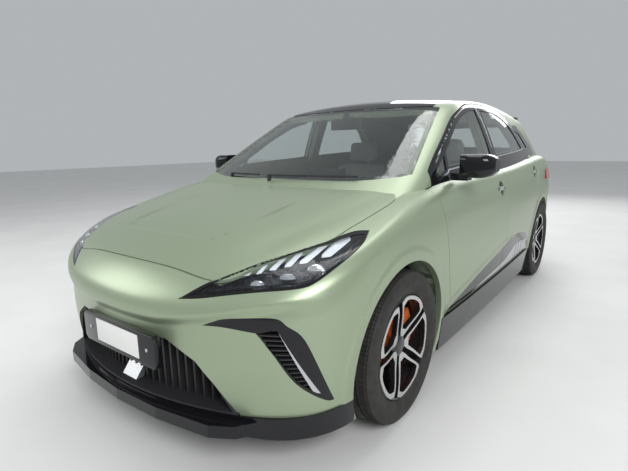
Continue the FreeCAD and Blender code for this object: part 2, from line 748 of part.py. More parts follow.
gate = biggest(gate.cut([notch, bore, gate_rim, gate_corner]))
leaf = box(GATE_HINGE_X - 7, GATE_HINGE_X + 7, GATE_Y - 105, GATE_Y, GATE_Z - 16, GATE_Z + 4)
leaf = leaf.fuse(Part.makeCylinder(EYE_R, 14, Vector(GATE_HINGE_X - 7, GATE_Y, GATE_Z), Vector(1, 0, 0)))
gate_hinge = leaf.fuse(Part.makeCylinder(PIN_R, 64, Vector(GATE_HINGE_X - 32, GATE_Y, GATE_Z), Vector(1, 0, 0)))
WING = [(60, 1705), (60, 1862), (300, 1868), (500, 1840), (545, 1790), (545, 1705)]
spoiler = top_prism(WING, 1405, 1428).cut(gate)

# The sills and the floor, then the body's own shell with its openings.
FLOOR = size("floor_level")
sill_tool = box(700, 1000, -900 + GAP, 985, 150, 325).cut([under_skin] + arches)
sill_trim = biggest(lower_outer.common(sill_tool))
floor = well.common(box(0, 1000, BULKHEAD + 75, 1900, FLOOR, FLOOR + size("floor_thick")))
floor = doubled(biggest(floor.cut(wide_arches)))
body = outer.common(box(0, 1000, BULKHEAD, 2300, FLOOR, 1700)).cut(cabin_space)
recesses = [door_room.cut(rebate_inner), rear_room.cut(rebate_inner)]
recesses += [turning_room(FRONT_HINGE_Y, FRONT_NOSE_EDGE), turning_room(REAR_HINGE_Y, REAR_NOSE_EDGE)]
recesses += [swing_room(FRONT_HINGE_Y, FRONT_SASH, FRONT_SWING), swing_room(REAR_HINGE_Y, REAR_SASH, REAR_SWING)]
apertures = [side_prism(grown(p, -45), 500, 1100) for p in (FRONT_DOOR, REAR_DOOR)]
windshield_hole = top_prism(grown(mirrored(WINDSHIELD), -28), 975, 1700)
quarter_hole = side_prism(grown(QUARTER_GLASS, -8), 590, 1100)
hinge_pocket = box(655, 702, BULKHEAD - 1, BULKHEAD + 57, 865, 1300)
front_openings = [hood_cut, fender_tool, windshield_tool, windshield_hole]
side_openings = [sill_tool, roof_tool, side_panes[3], quarter_hole]
rear_openings = [gate_room, nose_room, rear_bumper_tool, tail_lamp_tool, hinge_pocket]
body = body.cut(recesses + apertures)
body = body.cut(front_openings + side_openings)
body = body.cut(rear_openings + wide_arches)
body = biggest(body)

# Hinge leaves and pins stand on the body.
HOOD_PIVOT_Y, HOOD_PIVOT_Z, HOOD_ARM_X = BULKHEAD + 25, 905.0, 677.0
leaves = [hinge_leaf(y, level) for y in (FRONT_HINGE_Y, REAR_HINGE_Y) for level in HINGE_LEVELS]
hood_pin = Part.makeCylinder(PIN_R, 75, Vector(640, HOOD_PIVOT_Y, HOOD_PIVOT_Z), Vector(1, 0, 0))
feature("body_sides", doubled(biggest(body.fuse(leaves + [hood_pin, gate_hinge]))))

hood_arm = box(HOOD_ARM_X - 7, HOOD_ARM_X + 7, -1190, -1105, HOOD_PIVOT_Z - 15, 944)
hood_lever = box(HOOD_ARM_X - 7, HOOD_ARM_X + 7, -1150, HOOD_PIVOT_Y, HOOD_PIVOT_Z - 15, HOOD_PIVOT_Z + 15)
hood_eye = Part.makeCylinder(18, 14, Vector(HOOD_ARM_X - 7, HOOD_PIVOT_Y, HOOD_PIVOT_Z), Vector(1, 0, 0))
hood_bore = Part.makeCylinder(PIN_R + PIN_PLAY, 60, Vector(640, HOOD_PIVOT_Y, HOOD_PIVOT_Z), Vector(1, 0, 0))
hood_arm = hood_arm.fuse([hood_lever, hood_eye]).cut(hood_bore)
feature("hood", doubled(biggest(hood.fuse(hood_arm))))

# The black scuttle between the hood and the windshield, with the wipers standing on it.
COWL_EDGE = [(0, -1168), (400, -1138), (645, -1078), (645, -1002), (600, -1002), (600, -985), (0, -985)]
cowl = lower_body(0, 10).common(top_prism(mirrored(COWL_EDGE), 800, 1100)).cut(lower_body(0, 45))
cowl = doubled(biggest(cowl.cut(box(-1000, 1000, BULKHEAD, 0, 0, 975))))
feature("cowl", cowl)
WIPERS = [
    [(-60, -1128), (150, -1109), (350, -1085), (480, -1060)],
    [(-430, -1064), (-280, -1088), (-150, -1107)],
]
wipers = []
for points in WIPERS:
    edge = [(x, y + 9) for x, y in reversed(points)]
    blade = top_prism(points + edge, 1030, 1040)
    x, y = points[0]
    wiper_foot = box(x, x + 16, y - 6, y + 8, 960, 1036)
    wipers.append(blade.fuse(wiper_foot).cut([cowl, windshield]))
feature("wipers", Part.makeCompound([biggest(w) for w in wipers]))

feature("front_bumper", bumper)
feature("front_splitter", splitter)
feature("lower_grille", grille)
feature("plate_carrier", plate_room)
feature("headlamps", both(headlamp))
feature("corner_vents", both(vent))
feature("front_fenders", both(fender))
beam = under_skin.common(box(0, 440, -FAR, -2060, 522, 600))
feature("bumper_beam", doubled(beam.Solids[0]))
feature("windshield", windshield)
feature("roof_panel", roof)
feature("quarter_glass", both(panes[3]))
feature("sill_trims", both(sill_trim))
feature("floor_pan", floor)
feature("rear_bumper", rear_bumper)
feature("tail_lamps", both(tail_lamp))
feature("tailgate", doubled(gate))
feature("tailgate_glass", tail_glass)
feature("tailgate_lamp", gate_lamp)
feature("spoiler", both(spoiler))
for word, turned in (("left", lambda shape: shape), ("right", across)):
    feature("door_front_" + word, turned(front_door))
    feature("door_rear_" + word, turned(rear_door))
    feature("glass_front_" + word, turned(front_panes))
    feature("glass_rear_" + word, turned(panes[2]))

# The wheel houses: a thin round wall over each wheel, open below and towards the hub.
LINER_OUT = 765.0
liners = []
for axle in (FRONT_AXLE, REAR_AXLE):
    ring = arch_cylinder(axle, ARCH_R + size("liner_wall"), 424.0, LINER_OUT).cut(arch_cylinder(axle, ARCH_R, 430.0, 900.0))
    window = box(400, 440, axle - 95, axle + 95, 100, 700)
    low = box(300, 1000, axle - 500, axle + 500, 0, FLOOR + 15)
    liners.append(biggest(ring.cut([window, low])))
feature("wheel_liners", Part.makeCompound([both(one) for one in liners]))

# Door mirrors.
MIRROR_SECTIONS = [
    # across, front, back, low, high, corner radius
    (866, -706, -577, 1024, 1136, 26),
    (955, -716, -575, 1016, 1136, 38),
    (1012, -690, -575, 1030, 1124, 34),
    (1030, -662, -579, 1048, 1108, 24),
]


def rounded_wire(x, y0, y1, z0, z1, radius):
    """A rectangle with round corners, square to the car's width."""
    corners = [(y1 - radius, z1 - radius, 0), (y0 + radius, z1 - radius, 90)]
    corners += [(y0 + radius, z0 + radius, 180), (y1 - radius, z0 + radius, 270)]
    arcs, points = [], []
    for y, z, start in corners:
        angles = [math.radians(start + step) for step in (0, 45, 90)]
        points.append([Vector(x, y + radius * math.cos(a), z + radius * math.sin(a)) for a in angles])
    for k, arc in enumerate(points):
        arcs.append(Part.Arc(*arc).toShape())
        arcs.append(Part.LineSegment(arc[2], points[(k + 1) % 4][0]).toShape())
    return Part.Wire(arcs)


head = Part.makeLoft([rounded_wire(*row) for row in MIRROR_SECTIONS], True, False)
foot = box(815, 905, -690, -625, 1003, 1040)
mirror = biggest(head.fuse(foot).cut(outer.common(box(700, 920, -740, -560, 960, 1160))))
for word, turned in (("left", lambda shape: shape), ("right", across)):
    feature("mirror_" + word, turned(mirror))

# The cabin mirror hangs on the windshield.
stem = glass_inner.common(box(0, 14, -446, -404, 1325, 1430)).fuse(box(0, 120, -424, -404, 1290, 1350))
feature("cabin_mirror", doubled(stem.Solids[0]))

# Wheels, seats and the rest, from sketches and primitives bound to the sheet.


def dim(alias, offset=0.0, factor=1.0):
    """A length from the sheet, as its value and the expression that gives it."""
    return size(alias) * factor + offset, "sizes.%s * %r + %r" % (alias, factor, offset)


def plain(value):
    return value[0] if isinstance(value, tuple) else value


def bind(thing, prop, value):
    if isinstance(value, tuple):
        thing.setExpression(prop, value[1])


def place(thing, x, y, z, rotation=None):
    thing.Placement = Placement(Vector(plain(x), plain(y), plain(z)), rotation or Rotation())
    for axis, value in zip("xyz", (x, y, z)):
        bind(thing, "Placement.Base." + axis, value)
    return thing


def datum(body, role):
    return [f for f in body.Origin.OriginFeatures if f.Role == role][0]


def sketch(body, label, plane, points, offset=0.0):
    """A closed polygon on one of a body's planes, every corner held from the origin."""
    made = body.newObject("Sketcher::SketchObject", label)
    made.AttachmentSupport = [(datum(body, plane), "")]
    made.MapMode = "FlatFace"
    made.AttachmentOffset = Placement(Vector(0, 0, offset), Rotation())
    flat = [(plain(p[0]), plain(p[1])) for p in points]
    lines = [Part.LineSegment(Vector(a[0], a[1], 0), Vector(b[0], b[1], 0)) for a, b in zip(flat, flat[1:] + flat[:1])]
    made.addGeometry(lines, False)
    for k in range(len(points)):
        made.addConstraint(Sketcher.Constraint("Coincident", k, 2, (k + 1) % len(points), 1))
    for k, p in enumerate(points):
        for kind, value in (("DistanceX", p[0]), ("DistanceY", p[1])):
            index = made.addConstraint(Sketcher.Constraint(kind, -1, 1, k, 1, plain(value)))
            if isinstance(value, tuple):
                name = "%s%d" % (kind[-1].lower(), k)
                made.renameConstraint(index, name)
                made.setExpression("Constraints." + name, value[1])
    return made


def new_body(label):
    body = doc.addObject("PartDesign::Body", label)
    body.Label = label
    return body


def primitive(kind, label, sizes, x=0.0, y=0.0, z=0.0, rotation=None):
    made = doc.addObject("Part::" + kind, label)
    for prop, value in sizes.items():
        setattr(made, prop, plain(value))
        bind(made, prop, value)
    return place(made, x, y, z, rotation)


def bar(label, x0, x1, y0, y1, z0, z1):
    """A Part box between two corners."""
    spans = {"Length": plain(x1) - plain(x0), "Width": plain(y1) - plain(y0), "Height": plain(z1) - plain(z0)}
    return primitive("Box", label, spans, x0, y0, z0)


def rod(label, radius, length, x, y, z, axis):
    """A Part cylinder along an axis from a point."""
    return primitive("Cylinder", label, {"Radius": radius, "Height": length}, x, y, z, Rotation(Vector(0, 0, 1), axis))


def fused(label, pieces):
    made = doc.addObject("Part::MultiFuse", label)
    made.Shapes = pieces
    made.Label = label
    return made


def minus(label, base, tool):
    made = doc.addObject("Part::Cut", label)
    made.Base = base
    made.Tool = tool
    made.Label = label
    return made


LEFT, UP, BACK = Vector(1, 0, 0), Vector(0, 0, 1), Vector(0, 1, 0)
AXLE_TEXT = {
    "front": "sizes.front_overhang - sizes.car_length / 2",
    "rear": "sizes.front_overhang - sizes.car_length / 2 + sizes.wheelbase",
}
AXLE_Y = {"front": (FRONT_AXLE, AXLE_TEXT["front"]), "rear": (REAR_AXLE, AXLE_TEXT["rear"])}

# Section of a tyre as (along the axle, out from it), one half from the tread's middle to the bead and back inside.
TYRE_OUTER = [(0, 0), (92, 0), (106, -7), (116, -30), (117.5, -62), (113, -93.4), (105, -93.7), (105, -104.7)]
TYRE_INNER = [(91, -104.7), (96, -88), (103, -62), (101, -34), (90, -17), (0, -12)]
# Section of a rim with its disc, from the inboard flange round the well to the hub.
RIM_SECTION = [
    (-112, 240), (-105.3, 240), (-105.3, 229), (105.3, 229), (105.3, 240), (112, 240), (112, 222), (97, 215),
    (92, 205), (80, 95), (74, 58), (74, 0), (62, 0), (62, 22.3), (-20, 22.3), (-20, 165), (6, 165), (6, 75),
    (46, 75), (52, 95), (64, 206), (44, 216), (-100, 216), (-112, 222),
]
WINDOW = [(-17, 92), (17, 92), (88, 190), (58, 203), (0, 209), (-58, 203), (-88, 190)]
SLOT = [(-6, 104), (6, 104), (15, 196), (0, 198), (-15, 196)]
HUB_BORE = 22.3


def wheel(end, side):
    name = "%s_%s" % (end, "left" if side > 0 else "right")
    turn = Rotation() if side > 0 else Rotation(UP, 180)
    at = (dim("track_width", 0.0, 0.5 * side), AXLE_Y[end], dim("tyre_radius"))
    tyre = new_body("tyre_" + name)
    half = [(x, dim("tyre_radius", dr)) for x, dr in TYRE_OUTER[1:] + TYRE_INNER[:-1]]
    rows = half + [(-x, r) for x, r in reversed(half)]
    profile = sketch(tyre, "tyre_section_" + name, "XZ_Plane", rows)
    ring = tyre.newObject("PartDesign::Revolution", "tyre_ring_" + name)
    ring.Profile = profile
    ring.ReferenceAxis = (datum(tyre, "X_Axis"), [""])
    ring.Angle = 360
    place(tyre, *at, turn)
    rim = new_body("rim_" + name)
    profile = sketch(rim, "rim_section_" + name, "XZ_Plane", RIM_SECTION)
    turned = rim.newObject("PartDesign::Revolution", "rim_turned_" + name)
    turned.Profile = profile
    turned.ReferenceAxis = (datum(rim, "X_Axis"), [""])
    turned.Angle = 360
    cuts = []
    for label, outline, angle in (("window", WINDOW, 0.0), ("slot", SLOT, 36.0)):
        cosine, sine = math.cos(math.radians(angle)), math.sin(math.radians(angle))
        rows = [(p[0] * cosine - p[1] * sine, p[0] * sine + p[1] * cosine) for p in outline]
        hole = rim.newObject("PartDesign::Pocket", "%s_%s" % (label, name))
        hole.Profile = sketch(rim, "%s_outline_%s" % (label, name), "YZ_Plane", rows, 36.0)
        hole.Length = 120
        hole.Reversed = True
        spread = rim.newObject("PartDesign::PolarPattern", "%ss_%s" % (label, name))
        spread.Originals = [hole]
        spread.Axis = (datum(rim, "X_Axis"), [""])
        spread.Angle = 360
        spread.Occurrences = 5
        rim.Tip = spread
    place(rim, *at, turn)
    nodes.extend([tyre, rim])


for wheel_end in ("front", "rear"):
    for wheel_side in (1, -1):
        wheel(wheel_end, wheel_side)


def upright(end, side):
    """A hub carrier with its spindle and caliper, in front also the kingpin's two pins."""
    name = "%s_%s" % (end, "left" if side > 0 else "right")
    axle = AXLE_Y[end][0]
    out = LEFT * side

    def sided(x):
        return dim("track_width", x * side, 0.5 * side)

    def between(label, x0, x1, y0, y1, z0, z1):
        near, far = sorted((x0, x1), reverse=side < 0)
        start = (axle + y0, AXLE_TEXT[end] + " + %r" % float(y0))
        return bar(label, sided(near), sided(far), start, axle + y1, z0, z1)

    centre = (axle, AXLE_TEXT[end])
    pieces = [
        rod("carrier_" + name, 50, 52, sided(-77), centre, dim("tyre_radius"), out),
        rod("spindle_" + name, HUB_BORE - 0.3, 86, sided(-30), centre, dim("tyre_radius"), out),
        between("upright_bar_" + name, -72, -30, -30, 30, *UPRIGHT_SPAN[end]),
        between("caliper_arm_" + name, -62, -32, 20, 120, 322, 372),
    ]
    if end == "front":
        pieces.append(rod("kingpin_" + name, 10, 317, sided(-KINGPIN_IN), centre, 175, UP))
        pieces.append(between("steering_lug_" + name, -68, -46, -110, -20, 286, 306))
    block = primitive("Cylinder", "caliper_block_" + name, {"Radius": 197, "Height": 88, "Angle": 52})
    about = Rotation(LEFT, -16) * Rotation(Vector(1, 1, 1), 120)
    place(block, sided(-52) if side > 0 else sided(36), centre, dim("tyre_radius"), about)
    middle = rod("caliper_middle_" + name, 104, 200, sided(-100), centre, dim("tyre_radius"), out)
    throat = rod("caliper_throat_" + name, dim("disc_radius", 6.0), 40, sided(-26.5), centre, dim("tyre_radius"), out)
    caliper = minus("caliper_" + name, minus("caliper_ring_" + name, block, middle), throat)
    return fused("upright_" + name, pieces), caliper


KINGPIN_IN = 50.0
UPRIGHT_SPAN = {"front": (214, 454), "rear": (200, 470)}
carriers = {}
for wheel_end in ("front", "rear"):
    for wheel_side in (1, -1):
        carriers[wheel_end, wheel_side] = upright(wheel_end, wheel_side)
for wheel_side, word in ((1, "left"), (-1, "right")):
    knuckle = fused("knuckle_front_" + word, list(carriers["front", wheel_side]))
    nodes.append(knuckle)


def suspension(end):
    """The arms and dampers that carry one axle, left and right."""
    axle = AXLE_Y[end]
    inner = 300.0 if end == "front" else 430.0
    pieces, bores = [], []
    for side, word in ((1, "left"), (-1, "right")):
        tag = "%s_%s" % (end, word)
        kingpin = dim("track_width", -KINGPIN_IN * side, 0.5 * side)
        for level, start, z0 in (("low", 300.0, 184), ("high", inner, 464)):
            xs = sorted((side * start, kingpin[0]))
            pieces.append(bar("arm_%s_%s" % (level, tag), xs[0], xs[1], axle[0] - 22, axle[0] + 22, z0, z0 + 20))
            pieces.append(rod("eye_%s_%s" % (level, tag), 22, 20, kingpin, axle, z0, UP))
        bores.append(rod("pin_bore_" + tag, 10.3, 400, kingpin, axle, 150, UP))
        pieces.append(rod("damper_" + tag, 26, 460, side * 535.0, axle, 200, UP))
        xs = sorted((side * inner, side * 560.0))
        pieces.append(bar("tower_" + tag, xs[0], xs[1], axle[0] - 40, axle[0] + 40, 640, 670))
    return pieces, bores


front_pieces, front_bores = suspension("front")
front_pieces.append(bar("cross_beam_front", -330, 330, FRONT_AXLE - 90, FRONT_AXLE + 90, 170, 260))
for wheel_side, word in ((1, "left"), (-1, "right")):
    xs = sorted((wheel_side * 300.0, wheel_side * 370.0))
    narrow = sorted((wheel_side * 300.0, wheel_side * 350.0))
    front_pieces.append(bar("rail_front_" + word, xs[0], xs[1], -1935, BULKHEAD, 440, 500))
    front_pieces.append(bar("riser_front_" + word, narrow[0], narrow[1], -1935, -1895, 440, 600))
    front_pieces.append(bar("horn_front_" + word, narrow[0], narrow[1], -2060, -1895, 525, 600))
    front_pieces.append(bar("post_front_" + word, xs[0], xs[1], FRONT_AXLE - 40, FRONT_AXLE + 40, 200, 670))
front_frame = minus("front_subframe", fused("front_frame_bars", front_pieces), fused("front_pin_bores", front_bores))
nodes.append(front_frame)
rear_pieces, rear_bores = suspension("rear")
rear_pieces.append(bar("cross_beam_rear", -330, 330, REAR_AXLE - 90, REAR_AXLE + 90, 160, FLOOR))
for wheel_side, word in ((1, "left"), (-1, "right")):
    rear_pieces.extend(carriers["rear", wheel_side])
nodes.append(fused("rear_subframe", rear_pieces))
for tool in rear_bores:
    doc.removeObject(tool.Name)

# The battery under the floor and the drive unit at the rear axle stand for the heavy masses.
battery = bar("battery_pack", -670, 670, -880, 960, 150, FLOOR)
nodes.append(battery)
unit = bar("drive_unit", -230, 230, REAR_AXLE - 190, REAR_AXLE + 190, FLOOR + 28, 430)
nodes.append(unit)
front_unit = bar("front_unit", -260, 260, -1640, -1060, 500, 720)
feet = []
for wheel_side, word in ((1, "left"), (-1, "right")):
    xs = sorted((wheel_side * 255.0, wheel_side * 320.0))
    feet.append(bar("front_unit_foot_" + word, xs[0], xs[1], -1600, FRONT_AXLE - 60, 500, 530))
    feet.append(bar("rear_unit_foot_" + word, xs[0], xs[1], FRONT_AXLE + 60, -1100, 500, 530))
nodes.append(fused("power_unit", [front_unit] + feet))


def padded(label, x, blocks):
    """A seat as pads of (name, width, outline in the side view), stood on each other."""
    made = new_body(label)
    for name, width, points in blocks:
        pad = made.newObject("PartDesign::Pad", "%s_%s" % (name, label))
        pad.Profile = sketch(made, "%s_side_%s" % (name, label), "YZ_Plane", points, -width / 2)
        pad.Length = width
    place(made, x, 0, 0)
    nodes.append(made)
    return made


FLOOR_TOP = FLOOR + size("floor_thick")
SEAT_PADS = [
    ("riser", 380.0, [(-190, FLOOR_TOP), (-190, 320), (250, 320), (250, FLOOR_TOP)]),
    ("cushion", 520.0, [(-270, 310), (-290, 430), (-220, 462), (200, 430), (300, 450), (300, 330), (230, 300)]),
    ("backrest", 500.0, [(180, 400), (205, 430), (355, 1010), (385, 1035), (445, 1030), (455, 980), (330, 400)]),
    ("headrest", 270.0, [(360, 1020), (372, 1200), (395, 1222), (470, 1215), (478, 1160), (440, 1020)]),
]
BENCH_PADS = [
    ("cushion", 1290.0, [(600, FLOOR_TOP), (590, 420), (620, 445), (1000, 420), (1090, 420), (1090, FLOOR_TOP)]),
    ("backrest", 1270.0, [(985, 400), (1175, 960), (1210, 990), (1265, 985), (1275, 950), (1090, 400)]),
    ("headrests", 900.0, [(1195, 975), (1215, 1090), (1235, 1110), (1290, 1105), (1262, 975)]),
]
padded("front_seat_left", dim("seat_offset"), SEAT_PADS)
padded("front_seat_right", dim("seat_offset", 0.0, -1.0), SEAT_PADS)
bench = padded("rear_bench_blank", 0, BENCH_PADS)
nodes.remove(bench)
doc.recompute()
feature("rear_bench", bench.Shape.cut([wide_arches[1], across(wide_arches[1])]))

# The dashboard with the steering column, and the wheel on it.
WHEEL_AT = Vector(size("seat_offset"), -430, 830)
TILT = math.radians(size("column_tilt"))
ALONG = Vector(0, math.cos(TILT), math.sin(TILT))
STEER_TURN = Rotation(LEFT, size("column_tilt") - 90)


def on_column(far):
    at = WHEEL_AT + ALONG * far
    return dim("seat_offset"), at.y, at.z


rim_ring = primitive("Torus", "steering_rim", {"Radius1": dim("steering_radius", -14.0), "Radius2": 14})
boss = primitive("Cylinder", "steering_boss", {"Radius": 62, "Height": 34}, 0, 0, -34)
spokes = [
    bar("steering_spoke_across", (-size("steering_radius") + 14), size("steering_radius") - 14, -20, 20, -22, -6),
    bar("steering_spoke_down", -18, 18, (-size("steering_radius") + 14), 0, -22, -6),
]
shaft = primitive("Cylinder", "steering_shaft", {"Radius": 10, "Height": 150}, 0, 0, -170)
steering = fused("steering_wheel", [rim_ring, boss, shaft] + spokes)
steering.Placement = Placement(WHEEL_AT, STEER_TURN)
steering.setExpression("Placement.Base.x", "sizes.seat_offset")
nodes.append(steering)

DASH = [(-925, 600), (-925, 958), (-760, 962), (-640, 935), (-602, 890), (-625, 800), (-700, 700), (-760, 600)]
dash = side_prism(DASH, 0, 760).common(well)
dash = doubled(dash.Solids[0])
column_start = WHEEL_AT - ALONG * 330
dash = dash.fuse(Part.makeCylinder(30, 262, column_start, ALONG))
dash = dash.fuse([box(-140, 140, -648, -634, 900, 1050), box(290, 450, -712, -700, 930, 1010)])
dash = dash.cut(Part.makeCylinder(10 + PIN_PLAY, 300, column_start, ALONG))
feature("dashboard", biggest(dash))

doc.recompute()
for obj in doc.Objects:
    if "Invalid" in obj.State or "Error" in obj.State:
        raise RuntimeError("%s failed" % obj.Label)
os.makedirs("parts", exist_ok=True)
for obj in nodes:
    if obj.Shape.isNull() or not obj.Shape.isValid():
        raise RuntimeError("%s has no valid shape" % obj.Label)
    obj.Shape.exportStep("parts/%s.step" % obj.Label)
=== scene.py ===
# %% [markdown]
# This file dresses a five-door electric hatchback for rendering. The CAD parts are loaded first and stay where
# they are: they are the frame that every dressed piece is built on. All lengths are in metres, +X is the car's
# left side, -Y is its front and +Z is up.

import json
import math

import bpy
import numpy as np
from mathutils import Matrix, Vector

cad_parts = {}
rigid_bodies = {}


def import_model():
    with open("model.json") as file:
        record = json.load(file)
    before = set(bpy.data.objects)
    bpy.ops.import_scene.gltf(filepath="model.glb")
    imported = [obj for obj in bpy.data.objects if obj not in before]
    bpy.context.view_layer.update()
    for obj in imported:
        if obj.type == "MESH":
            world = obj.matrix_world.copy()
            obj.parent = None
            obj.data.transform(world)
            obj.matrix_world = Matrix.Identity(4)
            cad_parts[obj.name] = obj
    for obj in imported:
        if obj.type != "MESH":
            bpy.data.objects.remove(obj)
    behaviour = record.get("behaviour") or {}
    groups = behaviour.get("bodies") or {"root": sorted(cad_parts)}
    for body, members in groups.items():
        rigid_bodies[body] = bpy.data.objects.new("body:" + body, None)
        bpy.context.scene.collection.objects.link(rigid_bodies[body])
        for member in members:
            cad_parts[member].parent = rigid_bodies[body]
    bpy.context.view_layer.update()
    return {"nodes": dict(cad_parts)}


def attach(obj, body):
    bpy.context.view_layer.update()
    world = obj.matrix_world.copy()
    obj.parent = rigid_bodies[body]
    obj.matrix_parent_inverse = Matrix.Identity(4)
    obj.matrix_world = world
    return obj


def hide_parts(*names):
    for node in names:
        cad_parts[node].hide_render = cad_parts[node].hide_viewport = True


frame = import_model()

# %% [markdown]
# Blender's operators act on everything that is selected, and the import leaves the CAD nodes selected. So the
# selection is emptied before anything new is made, and one helper makes a single object active and selected.


# %% Selection helpers
def only(piece):
    bpy.ops.object.select_all(action="DESELECT")
    piece.select_set(True)
    bpy.context.view_layer.objects.active = piece
    return piece


def placed(name, data):
    """A new object in the scene with the given data."""
    piece = bpy.data.objects.new(name, data)
    bpy.context.scene.collection.objects.link(piece)
    return piece


def on_all_faces(piece, operator, **options):
    """One mesh operator run on everything in a piece."""
    only(piece)
    bpy.ops.object.mode_set(mode="EDIT")
    bpy.ops.mesh.select_all(action="SELECT")
    operator(**options)
    bpy.ops.object.mode_set(mode="OBJECT")
    return piece


def facing_out(piece):
    return on_all_faces(piece, bpy.ops.mesh.normals_make_consistent, inside=False)


def cad_copy(node, name):
    """A copy of a CAD node's mesh with its loose triangles merged, free to be changed."""
    piece = placed(name, frame["nodes"][node].data.copy())
    piece.data.materials.clear()
    return on_all_faces(piece, bpy.ops.mesh.remove_doubles, threshold=0.00002)


bpy.ops.object.select_all(action="DESELECT")

# %% [markdown]
# The body's outer skin is one smooth surface that all painted panels are cut from, as pressed panels on a real
# car follow one styling surface. It is kept here as a rule instead of a mesh: a table of horizontal slices says
# how far the nose, side and tail stand back at each height, and a table of arcs says how high the crowned top
# is. A cubic curve through each column makes the values between the rows smooth.

# %% The styling surface's tables, in millimetres
NOSE, TAIL, HALF_WIDTH = -2143.5, 2143.5, 918.0
FRONT_AXLE, REAR_AXLE, WHEEL_X, WHEEL_Z = -1308.5, 1396.5, 775.0, 334.0
ARCH_R, FRONT_LIP, REAR_LIP = 378.0, 52.0, 48.0
BODY_SLICES = [
    # height, nose back, tail back, side in, widest at, side radius
    (150, 58, 113, 46, 0, 40000),
    (230, 42, 76, 36, 0, 40000),
    (310, 29, 48, 27, 0, 40000),
    (390, 19, 28, 19, 0, 40000),
    (470, 11, 14, 13, 0, 40000),
    (550, 5, 5, 8, 0, 40000),
    (630, 4, 1, 4, 0, 40000),
    (710, 40, 1, 1, 0, 40000),
    (790, 94, 18, 0, 150, 40000),
    (870, 150, 57, 8, 300, 40000),
    (950, 206, 98, 25, 700, 36000),
    (1030, 262, 142, 44, 1000, 18000),
    (1110, 320, 188, 84, 1100, 13000),
]
CABIN_SLICES = [
    (900, 843, 100, 60, 350, 22000),
    (960, 939, 112, 78, 350, 22000),
    (1020, 1040, 142, 98, 350, 22000),
    (1110, 1204, 205, 130, 300, 20000),
    (1200, 1368, 273, 162, 250, 18000),
    (1290, 1532, 342, 198, 250, 16000),
    (1380, 1697, 411, 238, 250, 14000),
    (1470, 1859, 479, 284, 250, 14000),
    (1560, 2023, 553, 333, 250, 14000),
]
DECK_ARCS = [
    # along the car, height on the centre line, fall at 750 mm to the side
    (-2300, 600, 130),
    (-2075, 737, 112),
    (-1850, 846, 85),
    (-1500, 927, 55),
    (-1200, 980, 38),
    (-1000, 1015, 34),
    (0, 1062, 34),
    (1000, 1100, 36),
    (1900, 1120, 45),
    (2300, 1100, 60),
]
ROOF_ARCS = [
    (-1400, 1098, 62),
    (-900, 1262, 62),
    (-500, 1390, 62),
    (-320, 1448, 62),
    (0, 1497, 62),
    (350, 1516, 62),
    (900, 1499, 66),
    (1600, 1434, 74),
    (1900, 1397, 78),
    (2300, 1340, 78),
]
BODY_RADII = (1500.0, 1700.0, 350.0, 330.0)
CABIN_RADII = (2300.0, 1900.0, 170.0, 200.0)


def curve_through(rows):
    """A smooth curve through every column of a table, read at any value of its first column."""
    table = np.array(rows, float)
    knots, values = table[:, 0], table[:, 1:]
    count, step = len(knots), np.diff(table[:, 0])
    matrix, right = np.eye(count), np.zeros_like(values)
    for k in range(1, count - 1):
        matrix[k, k - 1 : k + 2] = step[k - 1], 2 * (step[k - 1] + step[k]), step[k]
        rise, fall = (values[k + 1] - values[k]) / step[k], (values[k] - values[k - 1]) / step[k - 1]
        right[k] = 6 * (rise - fall)
    bend = np.linalg.solve(matrix, right)

    def at(where):
        where = np.clip(where, knots[0], knots[-1])
        k = np.clip(np.searchsorted(knots, where) - 1, 0, count - 2)
        t, h = (where - knots[k])[:, None], step[k][:, None]
        slope = (values[k + 1] - values[k]) / h - h * (2 * bend[k] + bend[k + 1]) / 6
        return values[k] + slope * t + bend[k] / 2 * t**2 + (bend[k + 1] - bend[k]) / (6 * h) * t**3

    return at


body_slices, cabin_slices = curve_through(BODY_SLICES), curve_through(CABIN_SLICES)
deck_arcs, roof_arcs = curve_through(DECK_ARCS), curve_through(ROOF_ARCS)
print("nose set back at 0.6 m:", body_slices(np.array([600.0]))[0][0].round(1), "mm")

# %% [markdown]
# A distance rule says for any point how far outside the skin it is: below zero is inside the car. In plan each
# slice is a bowed nose, a bowed side and a bowed tail, joined by round corners. The top is the crowned deck,
# and the edge between side and deck is rounded as the real fender's shoulder is.


# %% Distance from the plain skin, in millimetres
def corner_rounded(x, y, end_distance, side_distance, end, end_r, side, side_r, corner_r, sign):
    """Where the bowed end and the bowed side meet, the distance is measured from a round corner instead."""
    a, b = end_r - corner_r, side_r - corner_r
    dx, dy = side[0] - end[0], side[1] - end[1]
    span = np.hypot(dx, dy)
    along = (a * a - b * b + span * span) / (2 * span)
    off = np.sqrt(np.maximum(a * a - along * along, 0))
    foot_x, foot_y = end[0] + along * dx / span, end[1] + along * dy / span
    turn = np.where(dx * sign - dy > 0, 1.0, -1.0)
    kx, ky = foot_x - turn * off * dy / span, foot_y + turn * off * dx / span
    first, second = ((kx - end[0]) / a, (ky - end[1]) / a), ((kx - side[0]) / b, (ky - side[1]) / b)
    vx, vy = x - kx, y - ky
    way = np.sign(first[0] * second[1] - first[1] * second[0])
    inside = (way * (first[0] * vy - first[1] * vx) > 0) & (way * (vx * second[1] - vy * second[0]) > 0)
    return np.where(inside, np.hypot(vx, vy) - corner_r, np.maximum(end_distance, side_distance))


